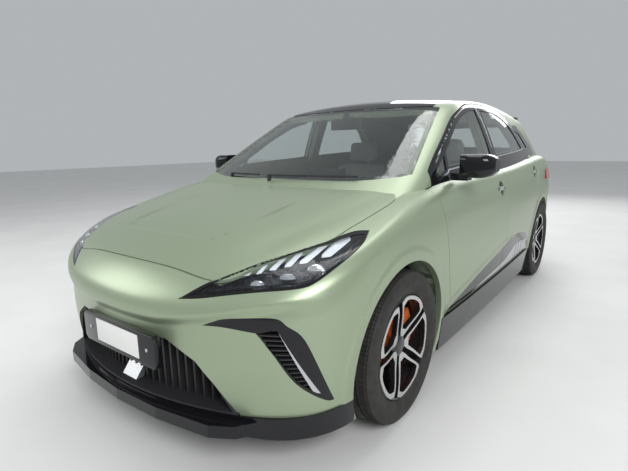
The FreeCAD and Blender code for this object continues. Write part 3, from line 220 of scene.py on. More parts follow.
def plan_distance(x, y, z, slices, radii):
    nose_back, tail_back, side_in, widest, side_r = slices(z).T
    nose_r, tail_r, front_r, rear_r = radii
    nose_y, tail_y = NOSE + nose_back + nose_r, TAIL - tail_back - tail_r
    side_x = HALF_WIDTH - side_in - side_r
    nose = np.hypot(x, np.minimum(y - nose_y, 0)) - nose_r
    tail = np.hypot(x, np.maximum(y - tail_y, 0)) - tail_r
    side = np.hypot(x - side_x, y - widest) - side_r
    zero = np.zeros_like(x)
    front = corner_rounded(x, y, nose, side, (zero, nose_y), nose_r, (side_x, widest), side_r, front_r, -1)
    rear = corner_rounded(x, y, tail, side, (zero, tail_y), tail_r, (side_x, widest), side_r, rear_r, 1)
    return np.where(y < 0, front, rear)


def met(first, second, radius):
    """Two distances joined so that their shared edge is round."""
    both = np.hypot(np.maximum(first + radius, 0), np.maximum(second + radius, 0)) - radius
    return np.where(np.maximum(first, second) < -radius, np.maximum(first, second), both)


def lower_distance(p):
    x, y, z = np.abs(p[:, 0]), p[:, 1], p[:, 2]
    middle, fall = deck_arcs(y).T
    deck = (z - middle + fall * (x / 750) ** 2) * 0.95
    return met(met(plan_distance(x, y, z, body_slices, BODY_RADII), deck, 45.0), 150.0 - z, 12.0)


def cabin_distance(p):
    x, y, z = np.abs(p[:, 0]), p[:, 1], p[:, 2]
    middle, fall = roof_arcs(y).T
    roof = (z - middle + fall * (x / 750) ** 2) * 0.97
    return met(met(plan_distance(x, y, z, cabin_slices, CABIN_RADII), roof, 40.0), 905.0 - z, 2.0)


print("door skin at 0.6 m:", lower_distance(np.array([[910.0, 0, 600]])).round(1), "mm from x 0.91")

# %% [markdown]
# Pressed metal is never a plain crowned sheet: arches flare, a shoulder line runs back from the front door, the
# doors hollow in above the sill, and the hood has a sunk panel with a horseshoe edge. Each of these is a small
# push in or out added to the distance rule, so every panel cut later carries its share of it across the gaps.


# %% Pressed features
def ramp(value, start, end):
    """0 before start, 1 after end, with soft ends."""
    t = np.clip((value - start) / (end - start), 0, 1)
    return t * t * (3 - 2 * t)


def line_at(points, where):
    xs, ys = zip(*points)
    return np.interp(where, xs, ys)


SHOULDER = [(-1700, 800), (-900, 885), (-150, 915), (400, 942), (1000, 975), (1500, 990), (2000, 985)]
SILL_LINE = [(-940, 342), (-750, 402), (-540, 434), (-200, 490), (123, 540), (500, 530), (764, 436)]
SILL_LINE += [(1000, 380)]


def arch_flare(x, y, z):
    """A lip that stands out round each wheel opening."""
    out = 0
    for axle, lip in ((FRONT_AXLE, FRONT_LIP), (REAR_AXLE, REAR_LIP)):
        r = np.hypot(y - axle, z - WHEEL_Z)
        out = np.maximum(out, 1 - ramp(r, ARCH_R + lip - 10, ARCH_R + lip + 10))
    return out * ramp(x, 600, 760)


def side_press(x, y, z):
    """The shoulder's crease, the hollow under it and the swell above the sill."""
    shoulder, sill = line_at(SHOULDER, y), line_at(SILL_LINE, y)
    along = ramp(y, -1100, -500) * (1 - ramp(y, 1650, 2050))
    above = ramp(z, shoulder - 12, shoulder + 55)
    hollow = np.exp(-(((z - (shoulder - 130)) / 90) ** 2))
    low = np.exp(-(((z - (sill + 55)) / 60) ** 2))
    step = 1 - ramp(z, sill - 8, sill + 16)
    doors = ramp(y, -960, -840) * (1 - ramp(y, 850, 1010))
    push = -5.0 * above * along - 7.0 * hollow * along + 2.0 * low * doors - 12.0 * step * doors
    return push * ramp(x, 600, 760)


HORSESHOE = [(-2200, -60), (-1880, 120), (-1846, 290), (-1771, 328), (-1667, 337), (-1400, 352), (-1100, 400)]
HOOD_CREASE = [(-2000, 470), (-1500, 610), (-1100, 650)]


def hood_press(x, y, z):
    """The sunk middle panel of the hood and the crease at each side of it."""
    side = ramp(line_at(HORSESHOE, y) - x, -9, 9)
    bow = 22 * (x / 290) ** 2
    front = ramp(y, -1872 + bow - 6, -1852 + bow + 6)
    fade = 1 - ramp(y, -1560, -1250)
    crease = np.exp(-(((x - line_at(HOOD_CREASE, y)) / 60) ** 2))
    return -5.5 * side * front * fade - 3.0 * crease * ramp(y, -1950, -1700) * ramp(z, 640, 700)


BEAK = [(0, 604), (170, 601), (273, 600), (362, 610), (477, 630), (607, 663), (736, 690), (900, 700)]


def nose_press(x, y, z):
    """The overhang of the nose: a crease with the bumper drawn back under it, fading round the corner."""
    beak = line_at(BEAK, x)
    front = (1 - ramp(y, -1900, -1600)) * (1 - ramp(x, 640, 860))
    under = ramp(beak - z, -6, 40) * (1 - 0.6 * ramp(beak - z, 60, 260))
    return -20.0 * under * front


def tail_press(x, y, z):
    """The rear bumper's shelf and the hollow over it."""
    back = ramp(y, 1900, 2050)
    return back * (-14.0 * np.exp(-(((z - 800) / 75) ** 2)) - 10.0 * (1 - ramp(z, 380, 420)))


def skin_distance(p):
    x, y, z = np.abs(p[:, 0]), p[:, 1], p[:, 2]
    flare = arch_flare(x, y, z)
    press = (1 - flare) * (side_press(x, y, z) - 5.0) * ramp(x, 600, 760)
    press = press + hood_press(x, y, z) * ramp(z, 700, 760) * (1 - ramp(y, -1100, -1000))
    return lower_distance(p) - press - nose_press(x, y, z) - tail_press(x, y, z)


print("shoulder line at the front handle:", line_at(SHOULDER, 0.0), "mm")

# %% [markdown]
# The skin's mesh starts as a box of even rows, finer at the nose and round the wheels. Every point of it is
# then drawn along a straight ray from a plate inside the car until the distance rule says zero, the way a
# Shrinkwrap modifier presses a cage onto a target. Halving the step forty times finds each place exactly.


# %% Skin meshes
def steps(*spans):
    """Values from span to span: (start, step) pairs with the last value alone."""
    made = []
    for (start, step), (end, _) in zip(spans, spans[1:]):
        count = max(1, round((end - start) / step))
        made += [start + (end - start) * k / count for k in range(count)]
    return made + [spans[-1][0]]


def box_cage(xs, ys, zs):
    """Points and faces of a box with the given grid lines, each face wound to look outwards."""
    points, faces, index = [], [], {}

    def at(i, j, k):
        key = (i, j, k)
        if key not in index:
            index[key] = len(points)
            points.append((xs[i], ys[j], zs[k]))
        return index[key]

    last = (len(xs) - 1, len(ys) - 1, len(zs) - 1)
    for axis in range(3):
        a, b = (axis + 1) % 3, (axis + 2) % 3
        for end in (0, last[axis]):
            for i in range(last[a]):
                for j in range(last[b]):
                    ring = []
                    for da, db in ((0, 0), (1, 0), (1, 1), (0, 1)):
                        where = [0, 0, 0]
                        where[axis], where[a], where[b] = end, i + da, j + db
                        ring.append(at(*where))
                    faces.append(ring if end else ring[::-1])
    return np.array(points), faces


def pressed(points, distance, plate, reach=1400.0):
    """Each cage point moved along its ray from the inner plate to where the distance is zero."""
    low, high = np.array(plate[0], float), np.array(plate[1], float)
    start = np.clip(points, low, high)
    way = points - start
    way /= np.linalg.norm(way, axis=1)[:, None]
    near, far = np.zeros(len(points)), np.full(len(points), reach)
    for _ in range(40):
        middle = (near + far) / 2
        inside = distance(start + way * middle[:, None]) < 0
        near, far = np.where(inside, middle, near), np.where(inside, far, middle)
    return start + way * near[:, None]


def mesh_piece(name, points, faces):
    mesh = bpy.data.meshes.new(name)
    mesh.from_pydata((np.asarray(points) / 1000.0).tolist(), [], faces)
    mesh.validate()
    return placed(name, mesh)


BODY_X = steps((-918, 18), (-480, 27), (480, 18), (918, 0))
BODY_Y = steps((-2143, 12), (-1900, 18), (-850, 34), (960, 20), (1850, 22), (2143, 0))
BODY_Z = steps((150, 16), (540, 7), (720, 13), (1110, 0))
BODY_PLATE = ((-480, -1500, 560), (480, 1560, 560))
CABIN_X = steps((-860, 24), (860, 0))
CABIN_Y = steps((-1310, 30), (2050, 0))
CABIN_Z = steps((905, 24), (1520, 0))
CABIN_PLATE = ((-330, -560, 1150), (330, 1500, 1150))


def skin_solid(name, distance, inset, grid, plate):
    points, faces = box_cage(*grid)
    return mesh_piece(name, pressed(points, lambda p: distance(p) + inset, plate), faces)


def coarse(grid):
    """Every second line of a grid, with the last one kept."""
    return tuple(line[::2] + ([line[-1]] if len(line) % 2 == 0 else []) for line in grid)


BODY_GRID, CABIN_GRID = (BODY_X, BODY_Y, BODY_Z), (CABIN_X, CABIN_Y, CABIN_Z)
body_skin = skin_solid("body_skin", skin_distance, 0.0, BODY_GRID, BODY_PLATE)
cabin_skin = skin_solid("cabin_skin", cabin_distance, 0.0, CABIN_GRID, CABIN_PLATE)
print("body skin:", len(body_skin.data.polygons), "faces; cabin skin:", len(cabin_skin.data.polygons))

# %% [markdown]
# Panels are cut from the skin with Boolean modifiers, as blanks are cut from one pressing: the outline of the
# panel, pushed through the car as a prism, keeps what is inside it, other prisms take openings away, and a
# smaller copy of the whole skin hollows it to the panel's own thickness.


# %% Cutting tools
def prism_between(ring):
    """A closed tool whose two ends are the two halves of a ring of points."""
    n = len(ring) // 2
    ends = [list(range(n))[::-1], list(range(n, 2 * n))]
    walls = [[k, (k + 1) % n, n + (k + 1) % n, n + k] for k in range(n)]
    return facing_out(mesh_piece("tool", ring, ends + walls))


def prism(points, axis, low, high, slant=0.0):
    """A closed outline pushed along an axis. Side outlines are (y, z), top outlines (x, y), front ones (x, z)."""
    at = {"x": lambda p, d: (d, *p), "y": lambda p, d: (p[0], d, p[1]), "z": lambda p, d: (*p, d)}[axis]
    ring = [at(p[:2], d) for d in (low, high) for p in points]
    if slant:
        ring = [(x, y + slant * (x - skin_x(z)), z) for x, y, z in ring]
    return prism_between(ring)


def skin_x(z):
    """Roughly how far out the side stands at a height."""
    heights = [150, 330, 610, 735, 860, 960, 1030, 1200, 1350, 1450, 1560]
    return float(np.interp(z, heights, [872, 893, 912, 918, 905, 874, 825, 756, 694, 645, 585]))


def circle(y, z, radius, count):
    """Points round a circle in side view."""
    angles = np.linspace(0, 2 * math.pi, count + 1)[:-1]
    return [(y + radius * math.cos(a), z + radius * math.sin(a)) for a in angles]


def grown(points, by):
    """A closed outline moved outwards by a distance, or inwards if it is negative."""
    ring = np.array(points, float)
    before, after = np.roll(ring, 1, axis=0), np.roll(ring, -1, axis=0)
    turn = np.sign(np.sum(ring[:, 0] * after[:, 1] - after[:, 0] * ring[:, 1]))
    d1, d2 = ring - before, after - ring
    n1 = turn * np.stack([d1[:, 1], -d1[:, 0]], 1) / np.linalg.norm(d1, axis=1)[:, None]
    n2 = turn * np.stack([d2[:, 1], -d2[:, 0]], 1) / np.linalg.norm(d2, axis=1)[:, None]
    share = 1 + np.sum(n1 * n2, axis=1)
    return (ring + by * (n1 + n2) / share[:, None]).tolist()


def mirrored(points):
    return list(points) + [(-p[0], p[1]) for p in reversed(points) if abs(p[0]) > 1e-9]


def boolean(piece, tool, operation):
    modifier = piece.modifiers.new(operation, "BOOLEAN")
    modifier.operation, modifier.object, modifier.solver = operation, tool, "MANIFOLD"
    only(piece)
    bpy.ops.object.modifier_apply(modifier=modifier.name)


inner_skins = {}


def inner_skin(kind, depth):
    if (kind, depth) not in inner_skins:
        rule, grid, plate = KINDS[kind]
        made = skin_solid("inner_%s_%d" % (kind, depth), rule, float(depth), coarse(grid), plate)
        inner_skins[kind, depth] = made
    return inner_skins[kind, depth]


KINDS = {
    "body": (skin_distance, BODY_GRID, BODY_PLATE),
    "cabin": (cabin_distance, CABIN_GRID, CABIN_PLATE),
}
SKINS = {"body": body_skin, "cabin": cabin_skin}


def read_points(mesh, kind="co"):
    """Every point of a mesh in metres, or its normal."""
    values = np.zeros(len(mesh.vertices) * 3)
    mesh.vertices.foreach_get(kind, values)
    return values.reshape(-1, 3)


def write_points(mesh, points):
    mesh.vertices.foreach_set("co", points.ravel())
    mesh.update()


def slope_of(distance, p):
    """The way in which the distance grows fastest at each point."""
    slope = np.stack([distance(p + e) - distance(p - e) for e in np.eye(3) * 2.0], 1)
    return slope / np.maximum(np.linalg.norm(slope, axis=1), 1e-9)[:, None]


def smooth_to(piece, distance, inset=0.0):
    """Normals taken from the distance rule itself, so a cut never shows as a dent in the shading."""
    mesh = piece.data
    p = read_points(mesh) * 1000.0
    slope = slope_of(distance, p)
    on_it = np.abs(distance(p) + inset) < 1.5
    corner = np.zeros(len(mesh.loops), int)
    mesh.loops.foreach_get("vertex_index", corner)
    face_normal = np.zeros(len(mesh.polygons) * 3)
    mesh.polygons.foreach_get("normal", face_normal)
    totals = np.zeros(len(mesh.polygons), int)
    mesh.polygons.foreach_get("loop_total", totals)
    flat = np.repeat(face_normal.reshape(-1, 3), totals, axis=0)
    wanted = slope[corner]
    close = (np.sum(flat * wanted, axis=1) > 0.8) & on_it[corner]
    only(piece)
    bpy.ops.object.shade_smooth()
    mesh.normals_split_custom_set(np.where(close[:, None], wanted, flat).tolist())


def cut_panel(name, kind, keep, away=(), depth=30):
    """A panel of one skin: what is inside all the keep tools, without the away tools, to a depth."""
    piece = placed(name, SKINS[kind].data.copy())
    for tool in keep:
        boolean(piece, tool, "INTERSECT")
    for tool in away:
        boolean(piece, tool, "DIFFERENCE")
    boolean(piece, inner_skin(kind, depth), "DIFFERENCE")
    smooth_to(piece, KINDS[kind][0])
    return piece


def mirror_copy(piece, name):
    """The same piece on the car's other side, with its faces turned so that they still look outwards."""
    twin = placed(name, piece.data.copy())
    custom = [Vector((-n.vector.x, n.vector.y, n.vector.z)) for n in twin.data.corner_normals]
    twin.data.transform(Matrix.Diagonal((-1, 1, 1, 1)))
    order = []
    for polygon in twin.data.polygons:
        loops = list(polygon.loop_indices)
        order += [loops[0]] + loops[:0:-1]
    twin.data.flip_normals()
    twin.data.normals_split_custom_set([custom[k] for k in order])
    return twin


def joined(name, pieces):
    """Several meshes joined to one piece."""
    bpy.ops.object.select_all(action="DESELECT")
    for piece in pieces:
        piece.select_set(True)
    bpy.context.view_layer.objects.active = pieces[0]
    bpy.ops.object.join()
    pieces[0].name = name
    pieces[0].data.name = name
    return pieces[0]

# %% [markdown]
# The camera comes from the photograph's own perspective: its place, heading, pitch and roll were solved from
# known points of the car. The matrix is built from the three axes that the camera looks along.


# %% Camera
def turned_camera(place, azimuth, pitch, roll, focal_share):
    a, p, r = map(math.radians, (azimuth, pitch, roll))
    forward = Vector((-math.sin(a) * math.cos(p), math.cos(a) * math.cos(p), -math.sin(p)))
    right = Vector((math.cos(a), math.sin(a), 0))
    up = right.cross(forward)
    right, up = right * math.cos(r) + up * math.sin(r), up * math.cos(r) - right * math.sin(r)
    data = bpy.data.cameras.new("camera")
    data.sensor_width, data.lens = 36.0, 36.0 * focal_share
    data.clip_start, data.clip_end = 0.05, 100.0
    camera = placed("camera", data)
    camera.matrix_world = Matrix.Translation(place) @ Matrix((right, up, -forward)).transposed().to_4x4()
    return camera


camera = turned_camera(Vector((1.647, -2.945, 1.185)), 37.429, 11.354, -1.006, 441.5 / 628)
bpy.context.scene.camera = camera
bpy.context.scene.view_settings.view_transform = "Standard"
print("lens", round(camera.data.lens, 2), "mm")

# %% [markdown]
# Finishes are node materials. Each starts as one Principled shader with its constant values set on its own
# sockets, and a few helpers add the fine structure: a noise or a wave that moves colour, roughness or bump.


# %% Material helpers
def finish_material(name, color, roughness=0.5, metallic=0.0, **more):
    material = bpy.data.materials.new(name)
    material.use_nodes = True
    shader = material.node_tree.nodes["Principled BSDF"]
    shader.inputs["Base Color"].default_value = (*color, 1)
    shader.inputs["Roughness"].default_value = roughness
    shader.inputs["Metallic"].default_value = metallic
    for socket, value in more.items():
        shader.inputs[socket.replace("_", " ")].default_value = value
    return material


def node(material, kind, **values):
    made = material.node_tree.nodes.new(kind)
    for key, value in values.items():
        if key in made.inputs:
            made.inputs[key].default_value = value
        else:
            setattr(made, key, value)
    return made


def wire(material, source, output, target, socket):
    material.node_tree.links.new(source.outputs[output], target.inputs[socket])


def shader_of(material):
    return material.node_tree.nodes["Principled BSDF"]


def place_of(material):
    return node(material, "ShaderNodeTexCoord")


def mottled(material, scale, dark, light, detail=4.0):
    """Colour that drifts between two tones."""
    noise = node(material, "ShaderNodeTexNoise", Scale=scale, Detail=detail)
    wire(material, place_of(material), "Object", noise, "Vector")
    tones = node(material, "ShaderNodeValToRGB")
    tones.color_ramp.elements[0].color = (*dark, 1)
    tones.color_ramp.elements[1].color = (*light, 1)
    tones.color_ramp.elements[0].position, tones.color_ramp.elements[1].position = 0.35, 0.65
    wire(material, noise, "Fac", tones, "Fac")
    wire(material, tones, "Color", shader_of(material), "Base Color")
    return material


def rough_between(material, scale, low, high):
    """Roughness that varies as handling and dust leave it."""
    noise = node(material, "ShaderNodeTexNoise", Scale=scale, Detail=5.0)
    wire(material, place_of(material), "Object", noise, "Vector")
    span = node(material, "ShaderNodeMapRange")
    span.inputs["To Min"].default_value, span.inputs["To Max"].default_value = low, high
    wire(material, noise, "Fac", span, "Value")
    wire(material, span, "Result", shader_of(material), "Roughness")
    return material


def grained(material, scale, strength, distance=0.0005):
    """A fine bump, as moulded plastic or sprayed paint has."""
    noise = node(material, "ShaderNodeTexNoise", Scale=scale, Detail=3.0)
    wire(material, place_of(material), "Object", noise, "Vector")
    bump = node(material, "ShaderNodeBump", Strength=strength, Distance=distance)
    wire(material, noise, "Fac", bump, "Height")
    wire(material, bump, "Normal", shader_of(material), "Normal")
    return material


# %% [markdown]
# The satin paint is a sage green with fine metal flake under a soft clear layer: metallic gives the flake's
# sheen, the coat is rough so that it never mirrors, and a very fine noise in colour and roughness is the flake.

# %% Finishes
SAGE, SAGE_DARK, SAGE_LIGHT = (0.33, 0.40, 0.27), (0.30, 0.37, 0.245), (0.36, 0.43, 0.30)
paint = finish_material("satin_sage_paint", SAGE, 0.36, 0.55, Coat_Weight=0.25, Coat_Roughness=0.28)
rough_between(grained(mottled(paint, 900.0, SAGE_DARK, SAGE_LIGHT), 1400.0, 0.04), 700.0, 0.30, 0.42)
DEEP_BLACK = (0.008, 0.008, 0.010)
gloss_black = finish_material("gloss_black", DEEP_BLACK, 0.10, Specular_IOR_Level=0.3, Coat_Weight=0.15)
rough_between(gloss_black, 3.0, 0.04, 0.10)
grained_black = finish_material("grained_black", (0.018, 0.018, 0.020), 0.55)
rough_between(grained(grained_black, 900.0, 0.35), 60.0, 0.48, 0.66)
dark_metal = finish_material("dark_metal", (0.07, 0.07, 0.075), 0.45, 0.8)
rough_between(mottled(dark_metal, 40.0, (0.05, 0.05, 0.055), (0.10, 0.10, 0.105)), 30.0, 0.35, 0.6)
bright_trim = finish_material("bright_trim", (0.72, 0.73, 0.75), 0.18, 1.0)
rough_between(bright_trim, 80.0, 0.14, 0.26)
silver_trim = finish_material("silver_trim", (0.56, 0.57, 0.58), 0.36, 0.75)
rough_between(grained(silver_trim, 1200.0, 0.05), 300.0, 0.30, 0.44)
glass = finish_material("tinted_glass", (0.80, 0.86, 0.84), 0.02, Transmission_Weight=1.0, IOR=1.45)
rough_between(glass, 2.0, 0.0, 0.03)
print("finishes:", len(bpy.data.materials))

# %% [markdown]
# The panel outlines are the shut lines of the real car, drawn in the view that shows each one square. Where the
# line runs on smoothly, a curve is passed through its points, and a corner of more than thirty degrees stays
# sharp.


# %% Panel outlines
def soft(points, cuts=6, sharp=30.0):
    """A closed outline with a smooth curve through its points, except at its corners."""
    ring = np.array(points, float)
    before, after = ring - np.roll(ring, 1, axis=0), np.roll(ring, -1, axis=0) - ring
    across = before[:, 0] * after[:, 1] - before[:, 1] * after[:, 0]
    turn = np.degrees(np.abs(np.arctan2(across, np.sum(before * after, 1))))
    made = []
    for k in range(len(ring)):
        following = (k + 1) % len(ring)
        p1, p2 = ring[k], ring[following]
        if turn[k] >= sharp and turn[following] >= sharp:
            made.append(p1)
            continue
        p0 = ring[k - 1] if turn[k] < sharp else 2 * p1 - p2
        p3 = ring[(k + 2) % len(ring)] if turn[following] < sharp else 2 * p2 - p1
        square, cube = 2 * p0 - 5 * p1 + 4 * p2 - p3, 3 * p1 - p0 - 3 * p2 + p3
        for t in (s / cuts for s in range(cuts)):
            made.append(0.5 * (2 * p1 + (p2 - p0) * t + square * t**2 + cube * t**3))
    return [tuple(float(v) for v in p) for p in made]


HOOD_EDGE = soft(
    mirrored(
        [(0, -2022), (250, -2010), (497, -1978), (600, -1850), (706, -1650), (722, -1500), (735, -1350)]
        + [(742, -1200), (722, -1120), (660, -1088), (400, -1155), (0, -1185)]
    ),
    sharp=50,
)
FRONT_DOOR = soft(
    [(-818, 335), (-812, 402), (-886, 683), (-922, 826), (-932, 900), (-928, 975), (-868, 983)]
    + [(-838, 1050), (-800, 1075), (-679, 1147), (-438, 1284), (-265, 1366), (-42, 1427), (150, 1446)]
    + [(160, 1110), (172, 700), (166, 335)]
)
REAR_DOOR = soft(
    [(171, 335), (177, 700), (165, 1110), (155, 1446), (515, 1444), (700, 1418), (860, 1368), (1010, 1262)]
    + [(1140, 1120), (1175, 1000), (1130, 830), (1040, 690), (975, 540), (955, 335)]
)
FRONT_GLASS = soft(
    [(-600, 1152), (-420, 1252), (-250, 1331), (-40, 1387), (100, 1404), (112, 1104), (-628, 1066)]
)
FRONT_PANE = soft([(-812, 1040), (-640, 1131), (-664, 1054), (-795, 1019)])
REAR_GLASS = soft([(226, 1110), (216, 1406), (505, 1403), (690, 1377), (830, 1330), (960, 1236), (1050, 1142)])
QUARTER_GLASS = soft([(1030, 1285), (1170, 1140), (1300, 1150), (1160, 1268)])
BUMPER_SEAM = [(-2300, 100), (-2300, 900), (-1700, 858), (-1650, 818), (-1470, 722), (-1470, 500), (-1600, 100)]
FENDER_SEAM = [(-1700, 858), (-1650, 818), (-1470, 722), (-1470, 500), (-1600, 100), (-780, 100), (-780, 1060)]
FENDER_SEAM += [(-1700, 1060)]
REAR_SEAM = [(1690, 100), (1740, 480), (1800, 640), (2300, 640), (2300, 100)]
SPLITTER_TOP = [(-2300, 238), (-1750, 262), (-1660, 262), (-1660, 100), (-2300, 100)]
GRILLE = mirrored([(300, 512), (425, 446), (486, 373), (540, 290), (563, 253)])
WINDSHIELD = soft(
    mirrored(
        [(0, -1112), (400, -1080), (640, -995), (716, -935), (686, -783), (640, -555), (592, -300), (548, -300)]
        + [(300, -352), (0, -366)]
    )
)
ROOF_EDGE = soft(mirrored([(0, -366), (300, -352), (548, -300), (556, 0), (545, 800), (512, 1600), (0, 1612)]))
TAILGATE_EDGE = mirrored(
    [(0, 1500), (520, 1500), (560, 1330), (690, 1060), (700, 960), (600, 720), (560, 648), (0, 648)]
)
TAILGATE_GLASS = soft(
    mirrored([(0, 1378), (455, 1360), (500, 1290), (582, 1140), (560, 1125), (0, 1125)]), sharp=60
)
LAMP_BAND = [(490, 928), (700, 955), (1000, 955), (1000, 868), (700, 868), (490, 892)]
HEADLAMP = [
    (389, -2068, 678),
    (447, -2029, 715),
    (497, -1980, 744),
    (580, -1866, 788),
    (663, -1744, 821),
    (722, -1639, 842),
    (767, -1538, 860),
    (812, -1511, 862),
    (835, -1599, 833),
    (830, -1764, 778),
    (795, -1831, 742),
    (762, -1870, 728),
    (652, -1945, 716),
    (559, -1994, 703),
    (458, -2040, 686),
]
CORNER_VENT = [
    (466, -2047, 589),
    (510, -2034, 608),
    (550, -2020, 622),
    (635, -1976, 630),
    (713, -1936, 632),
    (744, -1919, 608),
    (781, -1889, 571),
    (805, -1854, 486),
    (827, -1770, 300),
    (812, -1805, 309),
    (756, -1894, 392),
    (705, -1943, 497),
    (662, -1964, 559),
    (649, -1971, 578),
    (545, -2018, 590),
]
CORNER_ANGLE, CORNER_NEAR, CORNER_FAR = math.radians(35.0), 1380.0, 2400.0
LAMP_OUT = np.array([math.sin(CORNER_ANGLE), -math.cos(CORNER_ANGLE), 0.0])
LAMP_ACROSS = np.array([math.cos(CORNER_ANGLE), math.sin(CORNER_ANGLE), 0.0])


def corner_flat(points):
    """Points in space as (across, height) seen square to the front corner."""
    return [(float(np.dot(p, LAMP_ACROSS)), p[2]) for p in points]


def corner_point(u, out, z):
    """The point in space at a place seen square to the front corner, so far out."""
    return LAMP_ACROSS * u + LAMP_OUT * out + np.array([0, 0, z])


def corner_prism(flat, near=CORNER_NEAR, far=CORNER_FAR):
    """An outline seen square to the front corner, pushed through the skin there."""
    return prism_between([tuple(corner_point(u, d, z)) for d in (near, far) for u, z in flat])


def two(tool):
    """A tool and its mirror image as one tool."""
    other = placed("tool", tool.data.copy())
    other.data.transform(Matrix.Diagonal((-1, 1, 1, 1)))
    other.data.flip_normals()
    return joined("tool", [tool, other])


def block(x0, x1, y0, y1, z0, z1):
    return prism([(x0, y0), (x1, y0), (x1, y1), (x0, y1)], "z", z0, z1)


LAMP_FLAT, VENT_FLAT = soft(corner_flat(HEADLAMP), 4, 40), soft(corner_flat(CORNER_VENT), 4, 40)
GAP, DOOR_SLANT = 5.0, 0.3
hood_block = prism(HOOD_EDGE, "z", 640, 1200)
hood_room = prism(grown(HOOD_EDGE, GAP), "z", 500, 1200)
lamp_block, lamp_room = corner_prism(LAMP_FLAT), two(corner_prism(grown(LAMP_FLAT, 2.5)))
vent_block, vent_room = corner_prism(VENT_FLAT), two(corner_prism(VENT_FLAT))
grille_hole = prism(GRILLE, "y", -2400, -1500)
front_arches, rear_arches = [
    two(prism(circle(axle, WHEEL_Z, ARCH_R, 96), "x", 424, 1000)) for axle in (FRONT_AXLE, REAR_AXLE)
]
front_door_block = prism(FRONT_DOOR, "x", 590, 1100, DOOR_SLANT)
rear_door_block = prism(REAR_DOOR, "x", 590, 1100, DOOR_SLANT)
door_rooms = [two(prism(grown(edge, GAP), "x", 585, 1100, DOOR_SLANT)) for edge in (FRONT_DOOR, REAR_DOOR)]
windshield_block, roof_block = prism(WINDSHIELD, "z", 960, 1600), prism(ROOF_EDGE, "z", 1300, 1700)
gate_block = prism(TAILGATE_EDGE, "y", 1640, 2300)
gate_room = prism(grown(TAILGATE_EDGE, GAP), "y", 1640, 2300)
gate_window = prism(TAILGATE_GLASS, "y", 1600, 2300)
rear_bumper_block = prism(REAR_SEAM, "x", -1000, 1000)
rear_lamp_block = two(prism(LAMP_BAND, "y", 1500, 2300))
middle_lamp_block = prism(mirrored([(0, 925), (500, 925), (500, 895), (0, 895)]), "y", 1500, 2300)
side_glass_blocks = [prism(p, "x", 590, 1100) for p in (FRONT_GLASS, FRONT_PANE, REAR_GLASS, QUARTER_GLASS)]
print("cutting tools ready")

# %% [markdown]
# Now the painted panels. The order does not matter, because each one is cut from a fresh copy of the skin. The
# left one of a pair is cut and its twin is a mirrored copy with its own mesh.


# %% Painted panels
def dress(piece, material, body, *nodes):
    """Give a finished piece its material and body, and hide the CAD nodes it stands for."""
    piece.data.materials.clear()
    piece.data.materials.append(material)
    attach(piece, body)
    if nodes:
        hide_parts(*nodes)
    return piece


def pair(left, material, body, *nodes, both_stand_for=None):
    """Dress a left piece and its twin. The left one stands for the nodes, or each side's for its own."""
    right = mirror_copy(left, left.name.replace("left", "right"))
    for side, piece, own in (("left", left, nodes), ("right", right, ())):
        own = (both_stand_for % side,) if both_stand_for else own
        dress(piece, material, body % side if "%" in body else body, *own)


hood_skin = cut_panel("hood_skin", "body", [hood_block], depth=12)
dress(hood_skin, paint, "hood")

splitter_room = prism(SPLITTER_TOP, "x", -1000, 1000)
bumper_block = prism(BUMPER_SEAM, "x", -1000, 1000)
bumper_skin = cut_panel(
    "bumper_skin",
    "body",
    [bumper_block],
    [hood_room, lamp_room, vent_room, grille_hole, splitter_room, front_arches]
    + [block(-566, 566, -2300, -1900, 100, 262)],
    depth=28,
)
dress(bumper_skin, paint, "body", "front_bumper")

sill_room = two(block(560, 1000, -905, -700, 100, 330))
fender_block = prism(FENDER_SEAM, "x", 560, 1000)
fender_left = cut_panel(
    "fender_skin_left",
    "body",
    [fender_block],
    [hood_room, lamp_room, door_rooms[0], front_arches, sill_room, block(0, 738, -1125, -700, 600, 1200)],
    depth=28,
)
pair(fender_left, paint, "body", "front_fenders")

front_door_left = cut_panel("door_skin_front_left", "body", [front_door_block], [cabin_skin], depth=14)
rear_door_left = cut_panel("door_skin_rear_left", "body", [rear_door_block], [cabin_skin], depth=14)
SILL_BLACK = [(-830, 300), (-800, 338), (-680, 364), (-308, 430), (100, 482), (460, 532), (760, 500)]
SILL_BLACK += [(895, 441), (985, 400), (985, 300)]
HANDLES, DISH_R = {"front": (20.0, 905.0), "rear": (1010.0, 958.0)}, 46.0


def split_off(piece, tool, name):
    """What lies inside the tool becomes a piece of its own."""
    part = placed(name, piece.data.copy())
    boolean(part, tool, "INTERSECT")
    boolean(piece, tool, "DIFFERENCE")
    smooth_to(part, skin_distance)
    smooth_to(piece, skin_distance)
    return part


sill_zone = prism(soft(SILL_BLACK, 4), "x", 500, 1100)
for word, left in (("front", front_door_left), ("rear", rear_door_left)):
    y, z = HANDLES[word]
    boolean(left, prism(circle(y, z, DISH_R, 48), "x", 700, 1100), "DIFFERENCE")
    black = split_off(left, sill_zone, "door_sill_%s_left" % word)
    pair(left, paint, "door_%s_%%s" % word)
    pair(black, gloss_black, "door_%s_%%s" % word)

body_block = block(-1000, 1000, -1000, 2300, 325, 1200)
fender_room = block(-1000, 1000, -1000, -780, 325, 985)
quarter_away = door_rooms + [cabin_skin, gate_room, rear_bumper_block, rear_lamp_block, rear_arches]
quarter_away += [fender_room, windshield_block]
quarter_skin = cut_panel("quarter_skin", "body", [body_block], quarter_away, depth=12)
dress(quarter_skin, paint, "body")
rear_bumper_skin = cut_panel("rear_bumper_skin", "body", [rear_bumper_block], [rear_arches], depth=38)
dress(rear_bumper_skin, paint, "body", "rear_bumper")
gate_away = [cabin_skin, rear_lamp_block, middle_lamp_block]
gate_skin = cut_panel("tailgate_skin", "body", [gate_block], gate_away, depth=14)
dress(gate_skin, paint, "tailgate")
print("painted panels cut")

